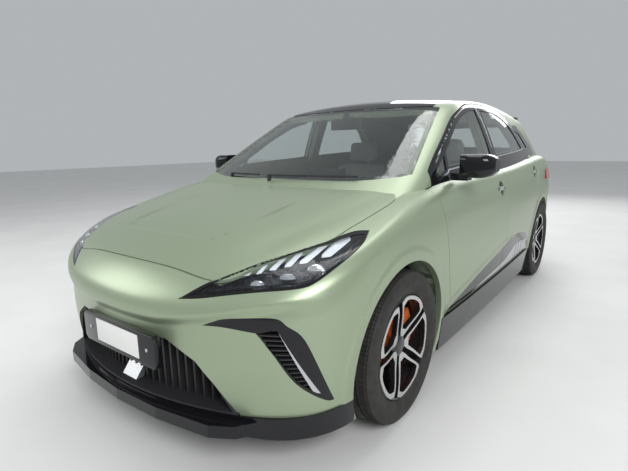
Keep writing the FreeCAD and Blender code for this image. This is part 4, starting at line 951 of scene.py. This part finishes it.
# %% [markdown]
# The cabin's frame is painted at the windshield pillars and along the roof's sides. The roof panel, the window
# frames of the doors and the rear quarters are gloss black, so the glass reads as one dark band.

# %% Cabin panels
cabin_block = block(-1000, 1000, -1200, 2300, 940, 1600)
black_quarter = two(prism([(985, 1000), (985, 1330), (1180, 1330), (1500, 1160), (1500, 1000)], "x", 500, 1100))
frame_away = door_rooms + [windshield_block, roof_block, gate_room, two(side_glass_blocks[3])]
cabin_paint = cut_panel("roof_side_skin", "cabin", [cabin_block], frame_away + [black_quarter], depth=12)
dress(cabin_paint, paint, "body")
cabin_black = cut_panel("rear_quarter_skin", "cabin", [black_quarter], frame_away, depth=12)
dress(cabin_black, gloss_black, "body")
roof_skin = cut_panel("roof_skin", "cabin", [prism(grown(ROOF_EDGE, -1.5), "z", 1300, 1700)], depth=22)
dress(roof_skin, gloss_black, "body", "roof_panel")
for word, door, panes in (
    ("front", front_door_block, side_glass_blocks[:2]),
    ("rear", rear_door_block, side_glass_blocks[2:3]),
):
    left = cut_panel("window_frame_%s_left" % word, "cabin", [door, cabin_block], panes, depth=14)
    pair(left, gloss_black, "door_%s_%%s" % word)
gate_black = cut_panel("tailgate_frame_skin", "cabin", [gate_block, cabin_block], [gate_window], depth=14)
dress(gate_black, gloss_black, "tailgate")
print("cabin panels cut")

# %% [markdown]
# Laminated and tempered glass follows the same cabin surface, five millimetres below the frames. Each pane is
# a shell of real thickness, because a refracting material needs an inside, and a dark printed border hides the
# glue line behind its edge.

# %% Glass
GLASS_DEPTH, BORDER_DEPTH = 5.0, 10.6
SKINS["glass"] = skin_solid("glass_skin", cabin_distance, GLASS_DEPTH, CABIN_GRID, CABIN_PLATE)
KINDS["glass"] = (cabin_distance, CABIN_GRID, CABIN_PLATE)
glass_border = finish_material("glass_border", (0.006, 0.006, 0.007), 0.22)
rough_between(glass_border, 500.0, 0.16, 0.3)


def cut_pane(name, tool):
    """A pane cut from the glass layer and not yet dressed."""
    pane = cut_panel(name, "glass", [tool], depth=10)
    smooth_to(pane, cabin_distance, GLASS_DEPTH)
    return pane


def border_ring(name, tool, hole, body):
    """The dark printed border under a pane's edge."""
    ring = placed(name, SKINS["border"].data.copy())
    boolean(ring, tool, "INTERSECT")
    boolean(ring, hole, "DIFFERENCE")
    boolean(ring, inner_skin("cabin", 13), "DIFFERENCE")
    smooth_to(ring, cabin_distance, BORDER_DEPTH)
    return dress(ring, glass_border, body)


SKINS["border"] = skin_solid("border_skin", cabin_distance, BORDER_DEPTH, CABIN_GRID, CABIN_PLATE)
dress(cut_pane("windshield_glass", windshield_block), glass, "body", "windshield")
windshield_view = prism(grown(WINDSHIELD, -26), "z", 900, 1700)
border_ring("windshield_border", windshield_block, windshield_view, "body")
dress(cut_pane("tailgate_window", gate_window), glass, "tailgate", "tailgate_glass")
gate_view = prism(grown(TAILGATE_GLASS, -22), "y", 1600, 2300)
border_ring("tailgate_window_border", gate_window, gate_view, "tailgate")
PANES = [
    # name of the left pane, body, CAD node that each side stands for
    ("window_front_left", "door_front_%s", "glass_front_%s"),
    ("quarter_light_left", "door_front_%s", None),
    ("window_rear_left", "door_rear_%s", "glass_rear_%s"),
    ("quarter_window_left", "body", None),
]
for (name, body, cad), tool in zip(PANES, side_glass_blocks):
    pair(cut_pane(name, tool), glass, body, both_stand_for=cad)
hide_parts("quarter_glass")
print("glass cut")

# %% [markdown]
# A tyre is a solid of revolution: its cross-section is drawn once and spun about the axle. The tread's grooves
# are in the section, and the cross cuts are blocks inset and pushed in afterwards, so the rubber has an edge
# that catches light.


# %% Tyre
def spun(name, section, count):
    """A section of (x, radius) points spun about the X axis and closed."""
    mesh = bpy.data.meshes.new(name)
    edges = [(k, k + 1) for k in range(len(section) - 1)]
    mesh.from_pydata([(x / 1000, 0, r / 1000) for x, r in section], edges, [])
    piece = placed(name, mesh)
    turn = {"steps": count, "angle": 2 * math.pi, "center": (0, 0, 0), "axis": (1, 0, 0)}
    on_all_faces(piece, bpy.ops.mesh.spin, **turn)
    on_all_faces(piece, bpy.ops.mesh.remove_doubles, threshold=0.00001)
    return facing_out(piece)


TREAD = [(-104, 327), (-92, 331), (-62, 333.4), (-60, 333.5), (-60, 326), (-52, 326), (-52, 333.6), (-18, 334)]
TREAD += [(-18, 326), (-10, 326), (-10, 334)]
WALL = [(112, 316), (117, 300), (117.5, 282), (114, 262), (108, 246), (103, 238), (101, 232), (94, 228)]
WALL += [(86, 227)]
INSIDE = [(84, 233), (98, 246), (104, 270), (100, 305), (80, 318)]


def other_side(line):
    return [(-x, r) for x, r in reversed(line)]


section = other_side(WALL) + TREAD + other_side(TREAD) + WALL + INSIDE + other_side(INSIDE) + [(-86, 227)]
tyre = spun("tyre_model", section, 120)
only(tyre)
bpy.ops.object.mode_set(mode="EDIT")
bpy.ops.mesh.select_all(action="DESELECT")
bpy.ops.object.mode_set(mode="OBJECT")
for polygon in tyre.data.polygons:
    r = math.hypot(polygon.center.y, polygon.center.z)
    angle = math.degrees(math.atan2(polygon.center.z, polygon.center.y)) % 6.0
    polygon.select = r > 0.3265 and abs(polygon.normal.x) < 0.7 and angle < 3.0 and abs(polygon.center.x) > 0.06
bpy.ops.object.mode_set(mode="EDIT")
bpy.ops.mesh.inset(thickness=0.0025, depth=-0.004, use_individual=True)
bpy.ops.object.mode_set(mode="OBJECT")
bpy.ops.object.shade_smooth_by_angle(angle=math.radians(32))
rubber = finish_material("tyre_rubber", (0.020, 0.019, 0.018), 0.72)
mottled(rubber, 30.0, (0.016, 0.015, 0.014), (0.030, 0.028, 0.025))
rough_between(grained(rubber, 700.0, 0.25), 14.0, 0.6, 0.85)
print("tyre:", len(tyre.data.polygons), "faces")

# %% [markdown]
# The wheel's face is five petals, each a closed frame from hub to rim, cut bright on its face and black on its
# flanks. One petal is drawn as two outlines, bridged to a flat frame, extruded for its depth and bevelled. Four
# turned copies complete the flower, and the barrel behind them is spun.

# %% Wheel face
PETAL = [(30, -5), (62, -31), (100, -54), (160, -99), (184, -113), (211, -80), (222, -28)]
PETAL += [(u, -v) for u, v in reversed(PETAL)]
WINDOW = [(74, -18), (104, -40), (157, -82), (170, -88), (196, -63), (205, -24)]
WINDOW += [(u, -v) for u, v in reversed(WINDOW)]


def petal_frame(name, outer, inner, face_x, depth):
    """A flat frame between two outlines, given depth and a small bevel round its face."""
    ring = soft(outer, 3, 40), soft(inner, 3, 40)
    points = [(face_x(math.hypot(u, v)), u, v) for line in ring for u, v in line]
    split = len(ring[0])
    edges = [(k, (k + 1) % split) for k in range(split)]
    edges += [(split + k, split + (k + 1) % len(ring[1])) for k in range(len(ring[1]))]
    mesh = bpy.data.meshes.new(name)
    mesh.from_pydata([(x / 1000, u / 1000, v / 1000) for x, u, v in points], edges, [])
    piece = placed(name, mesh)
    on_all_faces(piece, bpy.ops.mesh.bridge_edge_loops)
    facing_out(piece)
    if sum(p.normal.x for p in piece.data.polygons) < 0:
        piece.data.flip_normals()
    wall = piece.modifiers.new("wall", "SOLIDIFY")
    wall.thickness, wall.offset = depth / 1000, -1
    edge = piece.modifiers.new("edge", "BEVEL")
    edge.width, edge.segments, edge.limit_method, edge.angle_limit = 0.0022, 2, "ANGLE", math.radians(50)
    only(piece)
    bpy.ops.object.modifier_apply(modifier="wall")
    bpy.ops.object.modifier_apply(modifier="edge")
    return piece


def dish(r):
    """How far out the wheel's face stands at a radius."""
    return 104.0 - 26.0 * (1 - ramp(r, 20, 205))


petals = []
one = petal_frame("petal", PETAL, WINDOW, dish, 24)
for k in range(5):
    copy = placed("petal_%d" % k, one.data.copy())
    copy.data.transform(Matrix.Rotation(math.radians(140 + 72 * k), 4, "X"))
    petals.append(copy)
bpy.data.objects.remove(one)
barrel = spun(
    "barrel",
    [(100, 229), (104, 225), (100, 219), (84, 217), (60, 212), (10, 208), (-70, 214), (-95, 222), (-100, 230)]
    + [(-96, 231), (-68, 222), (10, 217), (60, 221), (84, 226), (100, 229)],
    96,
)
hub = spun("hub", [(52, 0), (52, 62), (72, 60), (76, 46), (80, 40), (84, 30), (86, 20), (87, 0)], 48)
print("petal frames placed")

# %% Wheels at their places
rim_face = finish_material("machined_face", (0.60, 0.60, 0.60), 0.28, 0.9)
rough_between(grained(rim_face, 400.0, 0.06), 90.0, 0.2, 0.36)
rim_black = finish_material("rim_black", (0.012, 0.012, 0.013), 0.22, Coat_Weight=0.4)
rough_between(rim_black, 40.0, 0.16, 0.32)
wheel_face = joined("wheel_face", petals)
wheel_face.data.materials.clear()
wheel_face.data.materials.append(rim_black)
wheel_face.data.materials.append(rim_face)
for polygon in wheel_face.data.polygons:
    polygon.material_index = 1 if polygon.normal.x > 0.86 else 0
barrel.data.materials.append(rim_black)
hub.data.materials.append(rim_black)
only(barrel)
bpy.ops.object.shade_smooth_by_angle(angle=math.radians(35))
only(hub)
bpy.ops.object.shade_smooth_by_angle(angle=math.radians(25))
wheel_model = joined("wheel_model", [barrel, hub, wheel_face])
WHEELS = [
    ("front_left", FRONT_AXLE, 1),
    ("front_right", FRONT_AXLE, -1),
    ("rear_left", REAR_AXLE, 1),
    ("rear_right", REAR_AXLE, -1),
]
for word, axle, side in WHEELS:
    spot = Matrix.Translation((side * WHEEL_X / 1000, axle / 1000, WHEEL_Z / 1000))
    for base, name, node_name in ((tyre, "tyre_", "tyre_"), (wheel_model, "wheel_", "rim_")):
        piece = placed(name + word + "_dressed", base.data.copy())
        turn = Matrix.Identity(4) if side > 0 else Matrix.Rotation(math.pi, 4, "Z")
        piece.data.transform(spot @ turn)
        if base is tyre:
            piece.data.materials.append(rubber)
        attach(piece, "wheel_" + word)
        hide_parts(node_name + word)
bpy.data.objects.remove(tyre)
bpy.data.objects.remove(wheel_model)
print("wheels placed")

# %% [markdown]
# What the panels leave open still needs the parts behind them: the body's own shell with its door openings, and
# the doors' inner halves. Those solids come from the CAD nodes. Each is copied, and the part of its surface
# that lies on the skin is drawn in a little, so that the dressed panel covers it.


# %% Inner structure
def both_skins(p):
    return np.minimum(skin_distance(p), cabin_distance(p))


def drawn_in(node_name, name, material, body, depth):
    """A CAD node's shape with its outer surface moved in under the dressed panels."""
    piece = cad_copy(node_name, name)
    p = read_points(piece.data) * 1000.0
    for _ in range(3):
        p = p - slope_of(both_skins, p) * np.maximum(both_skins(p) + depth, 0)[:, None]
    write_points(piece.data, p / 1000.0)
    only(piece)
    bpy.ops.object.shade_smooth_by_angle(angle=math.radians(28))
    return dress(piece, material, body, node_name)


# The jambs and inner panels are a darker copy of the body green: painted shade for the gaps and handle dishes where
# they show.
jamb_paint = finish_material("jamb_paint", (0.20, 0.25, 0.17), 0.45, 0.3)
rough_between(mottled(jamb_paint, 60.0, (0.17, 0.22, 0.14), (0.23, 0.28, 0.19)), 80.0, 0.38, 0.55)
drawn_in("body_sides", "body_shell_inner", jamb_paint, "body", 10.0)
drawn_in("hood", "hood_inner", jamb_paint, "hood", 10.0)
drawn_in("tailgate", "tailgate_inner", jamb_paint, "tailgate", 12.0)
for side in ("left", "right"):
    drawn_in("door_front_" + side, "door_inner_front_" + side, jamb_paint, "door_front_" + side, 12.0)
    drawn_in("door_rear_" + side, "door_inner_rear_" + side, jamb_paint, "door_rear_" + side, 12.0)
print("inner structure drawn in")

# %% [markdown]
# The small pieces on the skin are layers of it: a tool cuts an outline out of one layer and a deeper layer takes
# its back away, so a strip or a lamp's bar follows the curve of the panel under it at any depth.


# %% Layers of the skin
REGIONS = {
    "corner": (250, 1000, -2300, -1400, 100, 900),
    "side": (650, 1000, -1000, 1200, 150, 1100),
    "cabin_side": (450, 1000, -1100, 1700, 940, 1600),
}
region_layers = {}


def layer(kind, depth, region):
    """The part of a skin layer that lies in a region, kept for the next piece that needs it."""
    if (kind, depth, region) not in region_layers:
        source = SKINS[kind] if depth == 0 else inner_skin(kind, depth)
        part = placed("layer", source.data.copy())
        boolean(part, block(*REGIONS[region]), "INTERSECT")
        region_layers[kind, depth, region] = part
    return region_layers[kind, depth, region]


def relief(name, tool, top, back, kind="body", region="corner"):
    """An outline cut out of the skin between two depths."""
    part = placed(name, layer(kind, top, region).data.copy())
    boolean(part, tool, "INTERSECT")
    boolean(part, layer(kind, back, region), "DIFFERENCE")
    smooth_to(part, KINDS[kind][0], top)
    return part


def at_corner(u, z, inset):
    """The point of the front corner at a place seen square to it, so far below the skin."""
    low, high = CORNER_NEAR, CORNER_FAR
    for _ in range(30):
        middle = (low + high) / 2
        inside = skin_distance(corner_point(u, middle, z)[None])[0] < -inset
        low, high = (middle, high) if inside else (low, middle)
    return corner_point(u, low, z)


print("layers ready for", ", ".join(REGIONS))

# %% [markdown]
# A headlamp has a dark housing, a row of slanting light bars along its upper edge, three faceted modules under
# them and a clear cover in a thin black frame.

# %% Headlamps
lamp_clear = finish_material("lamp_clear", (0.93, 0.95, 0.96), 0.02, Transmission_Weight=1.0, IOR=1.3)
rough_between(lamp_clear, 4.0, 0.0, 0.02)
lamp_dark = finish_material("lamp_housing", (0.012, 0.016, 0.022), 0.25, 0.3)
rough_between(lamp_dark, 90.0, 0.2, 0.35)
light_bar = finish_material("light_bar", (0.80, 0.84, 0.88), 0.25, Emission_Strength=0.25)
shader_of(light_bar).inputs["Emission Color"].default_value = (0.85, 0.9, 1.0, 1)
rough_between(light_bar, 200.0, 0.2, 0.32)
chrome = finish_material("lamp_chrome", (0.78, 0.80, 0.83), 0.06, 1.0)
rough_between(chrome, 40.0, 0.04, 0.12)
LIGHT_BARS = [
    [(-655, 749), (-645, 757), (-619, 762), (-630, 752)],
    [(-605, 756), (-585, 774), (-567, 780), (-586, 759)],
    [(-560, 766), (-528, 791), (-505, 796), (-537, 768)],
    [(-508, 775), (-472, 803), (-447, 807), (-485, 777)],
    [(-456, 783), (-390, 820), (-360, 823), (-430, 785)],
    [(-379, 797), (-330, 827), (-271, 836), (-346, 800)],
]
LAMP_MODULES = [
    # across, height, half width, half height
    (-597, 727, 26, 15),
    (-493, 744, 29, 18),
    (-398, 764, 32, 21),
]
inside_lamp = corner_prism(grown(LAMP_FLAT, -6))
frame_piece = relief("headlamp_frame_left", lamp_block, 0, 38)
boolean(frame_piece, inside_lamp, "DIFFERENCE")
smooth_to(frame_piece, skin_distance)
pair(frame_piece, gloss_black, "body", "headlamps")
pair(relief("headlamp_housing_left", inside_lamp, 34, 38), lamp_dark, "body")
pair(relief("headlamp_cover_left", inside_lamp, 1, 4), lamp_clear, "body")
bars = [relief("headlamp_bar", corner_prism(flat), 12, 30) for flat in LIGHT_BARS]
pair(joined("headlamp_bars_left", bars), light_bar, "body")
modules = []
for u, z, half_width, half_height in LAMP_MODULES:
    centre = at_corner(u, z, 26) / 1000
    bpy.ops.mesh.primitive_ico_sphere_add(subdivisions=2, radius=1.0)
    module = bpy.context.object
    size_of = Matrix.Diagonal((half_width / 1000, 0.012, half_height / 1000, 1))
    module.data.transform(Matrix.Translation(centre) @ Matrix.Rotation(CORNER_ANGLE, 4, "Z") @ size_of)
    modules.append(module)
pair(joined("headlamp_modules_left", modules), chrome, "body")
print("headlamps:", len(LIGHT_BARS), "bars and", len(LAMP_MODULES), "modules a side")

# %% [markdown]
# The corner vents are black frames with level louvres and a pale upright blade along their inner side.

# %% Corner vents
VENT_HOLE = [(-600, 574), (-545, 590), (-524, 590), (-384, 340), (-398, 345), (-463, 398), (-531, 497)]
VENT_BLADE = [(-525, 592), (-507, 597), (-382, 336), (-400, 331)]
vent_hole = corner_prism(VENT_HOLE)
vent_frame = relief("vent_frame_left", vent_block, 0, 30)
boolean(vent_frame, vent_hole, "DIFFERENCE")
smooth_to(vent_frame, skin_distance)
pair(vent_frame, gloss_black, "body", "corner_vents")
slats = []
for k in range(14):
    slat_tool = block(450, 950, -2200, -1650, 346 + 17 * k, 351 + 17 * k)
    boolean(slat_tool, vent_hole, "INTERSECT")
    slats.append(relief("vent_louvre", slat_tool, 4, 30))
pair(joined("vent_louvres_left", slats), grained_black, "body")
pair(relief("vent_back_left", vent_hole, 30, 38), lamp_dark, "body")
pair(relief("vent_blade_left", corner_prism(VENT_BLADE), 1, 12), silver_trim, "body")
print("vents:", len(slats), "louvres a side")

# %% [markdown]
# Pale strokes and a stripe are laid on the black lip at the corners, and a silver stripe with three strokes
# rises along the black sill.

# %% Strokes and stripes
pale_film = finish_material("pale_film", (0.62, 0.63, 0.62), 0.4)
rough_between(pale_film, 200.0, 0.34, 0.48)
LIP_STROKES = [
    [(445, -2015, 178), (546, -1993, 248), (562, -1987, 248), (470, -2009, 184)],
    [(495, -2000, 184), (584, -1977, 241), (599, -1969, 236), (524, -1990, 189)],
    [(544, -1983, 189), (610, -1963, 227), (621, -1956, 219), (568, -1974, 192)],
    [(590, -1964, 190), (617, -1957, 214), (712, -1899, 216), (780, -1828, 212), (816, -1767, 222)]
    + [(812, -1768, 198), (700, -1890, 198)],
]
strokes = [relief("lip_stroke", corner_prism(corner_flat(points)), -1, 3) for points in LIP_STROKES]
pair(joined("lip_strokes_left", strokes), pale_film, "body")
STRIPE = [(-542, 327), (-272, 352), (258, 381), (529, 447), (868, 440), (945, 330), (513, 293), (56, 274)]
STRIPE += [(-327, 263)]
STRIPE_GAPS = [(540, 470, 600), (630, 470, 690), (720, 470, 780)]
stripe = prism(STRIPE, "x", 600, 1100)
for y, z, y2 in STRIPE_GAPS:
    slash = prism([(y + 22, 500), (y + 40, 500), (y + 10, 250), (y - 8, 250)], "x", 590, 1110)
    boolean(stripe, slash, "DIFFERENCE")
for word, door, body in (
    ("front", prism(grown(FRONT_DOOR, -2), "x", 590, 1100, DOOR_SLANT), "door_front_%s"),
    ("rear", prism(grown(REAR_DOOR, -2), "x", 590, 1100, DOOR_SLANT), "door_rear_%s"),
    ("sill", block(650, 1000, -880, 975, 150, 323), "body"),
):
    boolean(door, stripe, "INTERSECT")
    pair(relief("stripe_%s_left" % word, door, -1, 3, region="side"), silver_trim, body)
print("stripes laid")

# %% [markdown]
# A handle is a bright blade across a round dish in the door. The belt and the upper edge of the window frames
# carry a thin bright line.

# %% Handles and bright lines
for word, (y, z) in HANDLES.items():
    turns = np.linspace(-math.pi / 2, math.pi / 2, 9)
    ends = [(y - 98 + 13 * (1 - math.cos(a)), z + 13 * math.sin(a)) for a in turns]
    blade_edge = ends + [(2 * y - along, up) for along, up in reversed(ends)]
    blade = relief("handle_%s_left" % word, prism(blade_edge, "x", 700, 1100), 0, 14, region="side")
    pair(blade, bright_trim, "door_%s_%%s" % word)
BELT = {
    "front": [(-790, 1010), (-650, 1046), (-628, 1059), (112, 1097)]
    + [(112, 1090), (-628, 1051), (-650, 1038), (-790, 1003)],
    "rear": [(222, 1103), (1050, 1137), (1090, 1145), (1094, 1138), (1050, 1130), (222, 1096)],
}
for word, outline in BELT.items():
    line = relief("belt_line_%s_left" % word, prism(outline, "x", 590, 1100), -1, 3, "cabin", "cabin_side")
    pair(line, bright_trim, "door_%s_%%s" % word)
for word, edge, clip in (
    ("front", FRONT_DOOR, block(500, 1100, -830, 140, 1080, 1500)),
    ("rear", REAR_DOOR, block(500, 1100, 165, 1120, 1160, 1500)),
):
    boolean(clip, prism(grown(edge, -7), "x", 400, 1100, DOOR_SLANT), "INTERSECT")
    boolean(clip, prism(grown(edge, -13), "x", 400, 1100, DOOR_SLANT), "DIFFERENCE")
    line = relief("frame_line_%s_left" % word, clip, -1, 3, "cabin", "cabin_side")
    pair(line, bright_trim, "door_%s_%%s" % word)
print("handles and lines on the doors")

# %% [markdown]
# The number plate is blank, on a black bracket with two bolts, and a small silver wedge stands under it on the
# ledge of the grille.

# %% Plate and wedge
plate_white = finish_material("plate_white", (0.80, 0.80, 0.78), 0.35)
rough_between(plate_white, 30.0, 0.3, 0.45)


def bevelled(name, corners, low, high, width, material, body, *nodes):
    """A block with rounded edges: its outline in front view, pushed along the car."""
    piece = prism(corners, "y", low, high)
    piece.name = name
    modifier = piece.modifiers.new("edges", "BEVEL")
    modifier.width, modifier.segments = width / 1000, 3
    only(piece)
    bpy.ops.object.modifier_apply(modifier="edges")
    bpy.ops.object.shade_smooth_by_angle(angle=math.radians(40))
    return dress(piece, material, body, *nodes)


bracket = [(-178, 408), (-195, 425), (-195, 518), (-178, 535), (300, 535), (315, 518), (315, 425), (300, 408)]
bevelled("plate_bracket", bracket, -2140, -2112, 3, gloss_black, "body", "plate_carrier")
bevelled("number_plate", [(-88, 428), (-88, 520), (208, 520), (208, 428)], -2143, -2139, 1, plate_white, "body")
for k, (x, z) in enumerate(((-140, 474), (262, 476))):
    bpy.ops.mesh.primitive_cylinder_add(vertices=24, radius=0.007, depth=0.004)
    bolt = bpy.context.object
    bolt.name = "plate_bolt_%d" % (k + 1)
    turned = Matrix.Translation((x / 1000, -2.1405, z / 1000)) @ Matrix.Rotation(math.radians(90), 4, "X")
    bolt.data.transform(turned)
    dress(bolt, silver_trim, "body")
wedge = prism([(-2092, 240), (-2052, 240), (-2004, 330), (-2012, 342)], "x", -50, 50)
wedge.name = "grille_wedge"
dress(wedge, silver_trim, "body")
print("plate and wedge in place")

# %% [markdown]
# The seats are foam under cloth: each cushion is a block remeshed to an even net, relaxed until its edges are
# round, crowned between its sides and drawn in along its seams.

# %% Seats
seat_cloth = finish_material("seat_cloth", (0.36, 0.37, 0.36), 0.9)
grained(mottled(seat_cloth, 300.0, (0.31, 0.32, 0.31), (0.40, 0.41, 0.40)), 1200.0, 0.4)
SEAM = 7.0
BENCH_HEADREST = [(1205, 985), (1222, 1085), (1240, 1102), (1284, 1097), (1262, 985)]
SEAT_PADS = [
    # part, width, side outline, crown, seam's place across
    ("cushion", 520, [(-262, 318), (-280, 425), (-220, 455), (190, 425), (290, 440), (290, 338), (225, 308)], 12, 0.3),
    ("backrest", 500, [(190, 410), (213, 440), (358, 1000), (385, 1026), (437, 1020), (446, 978), (322, 410)], 12, 0.3),
    ("headrest", 262, [(378, 1060), (384, 1195), (400, 1214), (462, 1208), (470, 1160), (452, 1060)], 8, 0.9),
]
BENCH_PADS = [
    ("cushion", 1250, [(606, 300), (598, 415), (622, 438), (1000, 413), (1080, 413), (1080, 300)], 12, 0.62),
    ("backrest", 1240, [(1000, 430), (1180, 950), (1212, 980), (1258, 975), (1266, 948), (1096, 430)], 12, 0.62),
]


def cushion(name, at_x, width, outline, crown, seam_at, *nodes):
    """A padded piece: a side outline pushed across, rounded, crowned and seamed."""
    half = width / 2 - crown
    inner = grown(outline, -crown * 0.6)
    pad = prism(inner, "x", at_x - half, at_x + half)
    pad.name = pad.data.name = name
    modifier = pad.modifiers.new("net", "REMESH")
    modifier.mode, modifier.voxel_size = "VOXEL", 0.011
    rounding = pad.modifiers.new("rounding", "SMOOTH")
    rounding.factor, rounding.iterations = 0.5, 14
    only(pad)
    bpy.ops.object.modifier_apply(modifier="net")
    bpy.ops.object.modifier_apply(modifier="rounding")
    p, n = read_points(pad.data), read_points(pad.data, "normal")
    across = (p[:, 0] * 1000 - at_x) / half
    swell = crown * np.clip(1 - across**2, 0, 1) ** 0.5
    groove = SEAM * np.exp(-(((np.abs(across) - seam_at) * half / SEAM) ** 2))
    write_points(pad.data, p + n * ((swell - groove) / 1000.0)[:, None])
    only(pad)
    bpy.ops.object.shade_smooth()
    dress(pad, seat_cloth, "body", *nodes)


for side, at_x in (("left", 370), ("right", -370)):
    for part, width, outline, crown, seam_at in SEAT_PADS:
        stands_for = ("front_seat_" + side,) if part == "cushion" else ()
        cushion("seat_%s_%s" % (part, side), at_x, width, outline, crown, seam_at, *stands_for)
    for offset in (-55, 55):
        bpy.ops.mesh.primitive_cylinder_add(vertices=16, radius=0.006, depth=0.09)
        post = bpy.context.object
        post.name = "headrest_post_%s_%d" % (side, offset)
        post.data.transform(Matrix.Translation(((at_x + offset) / 1000, 0.412, 1.035)))
        dress(post, bright_trim, "body")
for part, width, outline, crown, seam_at in BENCH_PADS:
    stands_for = ("rear_bench",) if part == "cushion" else ()
    cushion("bench_" + part, 0, width, outline, crown, seam_at, *stands_for)
for at_x in (-400, 0, 400):
    cushion("bench_headrest_%d" % at_x, at_x, 230, BENCH_HEADREST, 8, 0.9)
print("seats padded")

# %% [markdown]
# Two screens stand on the dashboard, their faces pale with a painted reflection, and the tail lamps are red glass.

# %% Screens and other finishes
# The screens' pale face colour is a painted reflection.
screen_face = finish_material("screen_face", (0.45, 0.50, 0.54), 0.15)
rough_between(screen_face, 20.0, 0.1, 0.2)
for name, x0, x1, y, z0, z1 in (
    ("screen_middle", -134, 134, -634, 906, 1044),
    ("screen_driver", 296, 444, -700, 936, 1004),
):
    face = block(x0, x1, y, y + 1.5, z0, z1)
    face.name = name
    dress(face, screen_face, "body")
lamp_red = finish_material("lamp_red", (0.42, 0.01, 0.012), 0.12, Coat_Weight=0.8)
rough_between(lamp_red, 40.0, 0.08, 0.18)
rim_leather = finish_material("rim_leather", (0.03, 0.05, 0.055), 0.55)
grained(rim_leather, 700.0, 0.4)
print("screens and lamps ready")

# %% [markdown]
# The cutting tools and whole skins have done their work, so they are removed before the light is set.

# %% Clear the tools away
WHOLE_SKINS = ("body_skin", "cabin_skin", "glass_skin", "border_skin")
TOOLS = ("tool", "layer", "inner_body", "inner_cabin", "inner_glass")
for piece in list(bpy.context.scene.objects):
    if piece.name.startswith(TOOLS + WHOLE_SKINS):
        bpy.data.objects.remove(piece)

# %% [markdown]
# Every CAD node that still shows gets a finish of its own kind.

# %% Finishes of the remaining CAD nodes
plastic = finish_material("dark_plastic", (0.022, 0.022, 0.024), 0.5)
rough_between(grained(plastic, 800.0, 0.3), 40.0, 0.42, 0.62)
felt = finish_material("liner_felt", (0.012, 0.012, 0.012), 0.95)
grained(felt, 500.0, 0.5)
caliper_orange = finish_material("caliper_orange", (0.80, 0.17, 0.02), 0.35, Coat_Weight=0.3)
rough_between(caliper_orange, 60.0, 0.28, 0.42)
steel = finish_material("suspension_steel", (0.10, 0.10, 0.105), 0.5, 0.9)
rough_between(mottled(steel, 30.0, (0.07, 0.07, 0.075), (0.14, 0.14, 0.145)), 25.0, 0.4, 0.65)
NODE_FINISH = {
    "wheel_liners": felt,
    "sill_trims": gloss_black,
    "front_splitter": gloss_black,
    "spoiler": gloss_black,
    "mirror_left": gloss_black,
    "mirror_right": gloss_black,
    "wipers": plastic,
    "cowl": plastic,
    "lower_grille": plastic,
    "tail_lamps": lamp_red,
    "tailgate_lamp": lamp_red,
    "dashboard": plastic,
    "steering_wheel": rim_leather,
    "knuckle_front_left": caliper_orange,
    "knuckle_front_right": caliper_orange,
    "cabin_mirror": plastic,
}
for name, piece in frame["nodes"].items():
    if piece.hide_render:
        continue
    piece.data.materials.clear()
    piece.data.materials.append(NODE_FINISH.get(name, steel))

# %% [markdown]
# A pale floor, a pale world and large soft lamps show the paint's sheen without hard spots. The lamps are big
# and far, as studio soft boxes are.


# %% Floor and light
def soft_lamp(name, place, aim, size, power):
    data = bpy.data.lights.new(name, "AREA")
    data.shape, data.size, data.size_y, data.energy = "RECTANGLE", size[0], size[1], power
    lamp = placed(name, data)
    lamp.location = place
    lamp.rotation_euler = (Vector(aim) - Vector(place)).to_track_quat("-Z", "Y").to_euler()
    return lamp


bpy.ops.mesh.primitive_plane_add(size=60)
floor = bpy.context.object
floor.name = "studio_floor"
floor_finish = finish_material("studio_floor", (0.72, 0.72, 0.71), 0.8)
mottled(floor_finish, 1.5, (0.70, 0.70, 0.69), (0.74, 0.74, 0.73))
floor.data.materials.append(floor_finish)
world = bpy.data.worlds.new("studio_world")
world.use_nodes = True
world.node_tree.nodes["Background"].inputs["Color"].default_value = (0.80, 0.83, 0.86, 1)
world.node_tree.nodes["Background"].inputs["Strength"].default_value = 0.55
bpy.context.scene.world = world
soft_lamp("key", (6.0, -5.0, 5.5), (0, 0, 0.6), (4, 3), 420)
soft_lamp("fill", (-5.0, -5.0, 3.5), (0, -1, 0.6), (4, 3), 120)
soft_lamp("top", (0, 0.5, 6.5), (0, 0, 0), (3, 6), 160)
soft_lamp("back", (-1.0, 7.0, 4.0), (0, 0, 0.8), (5, 3), 160)
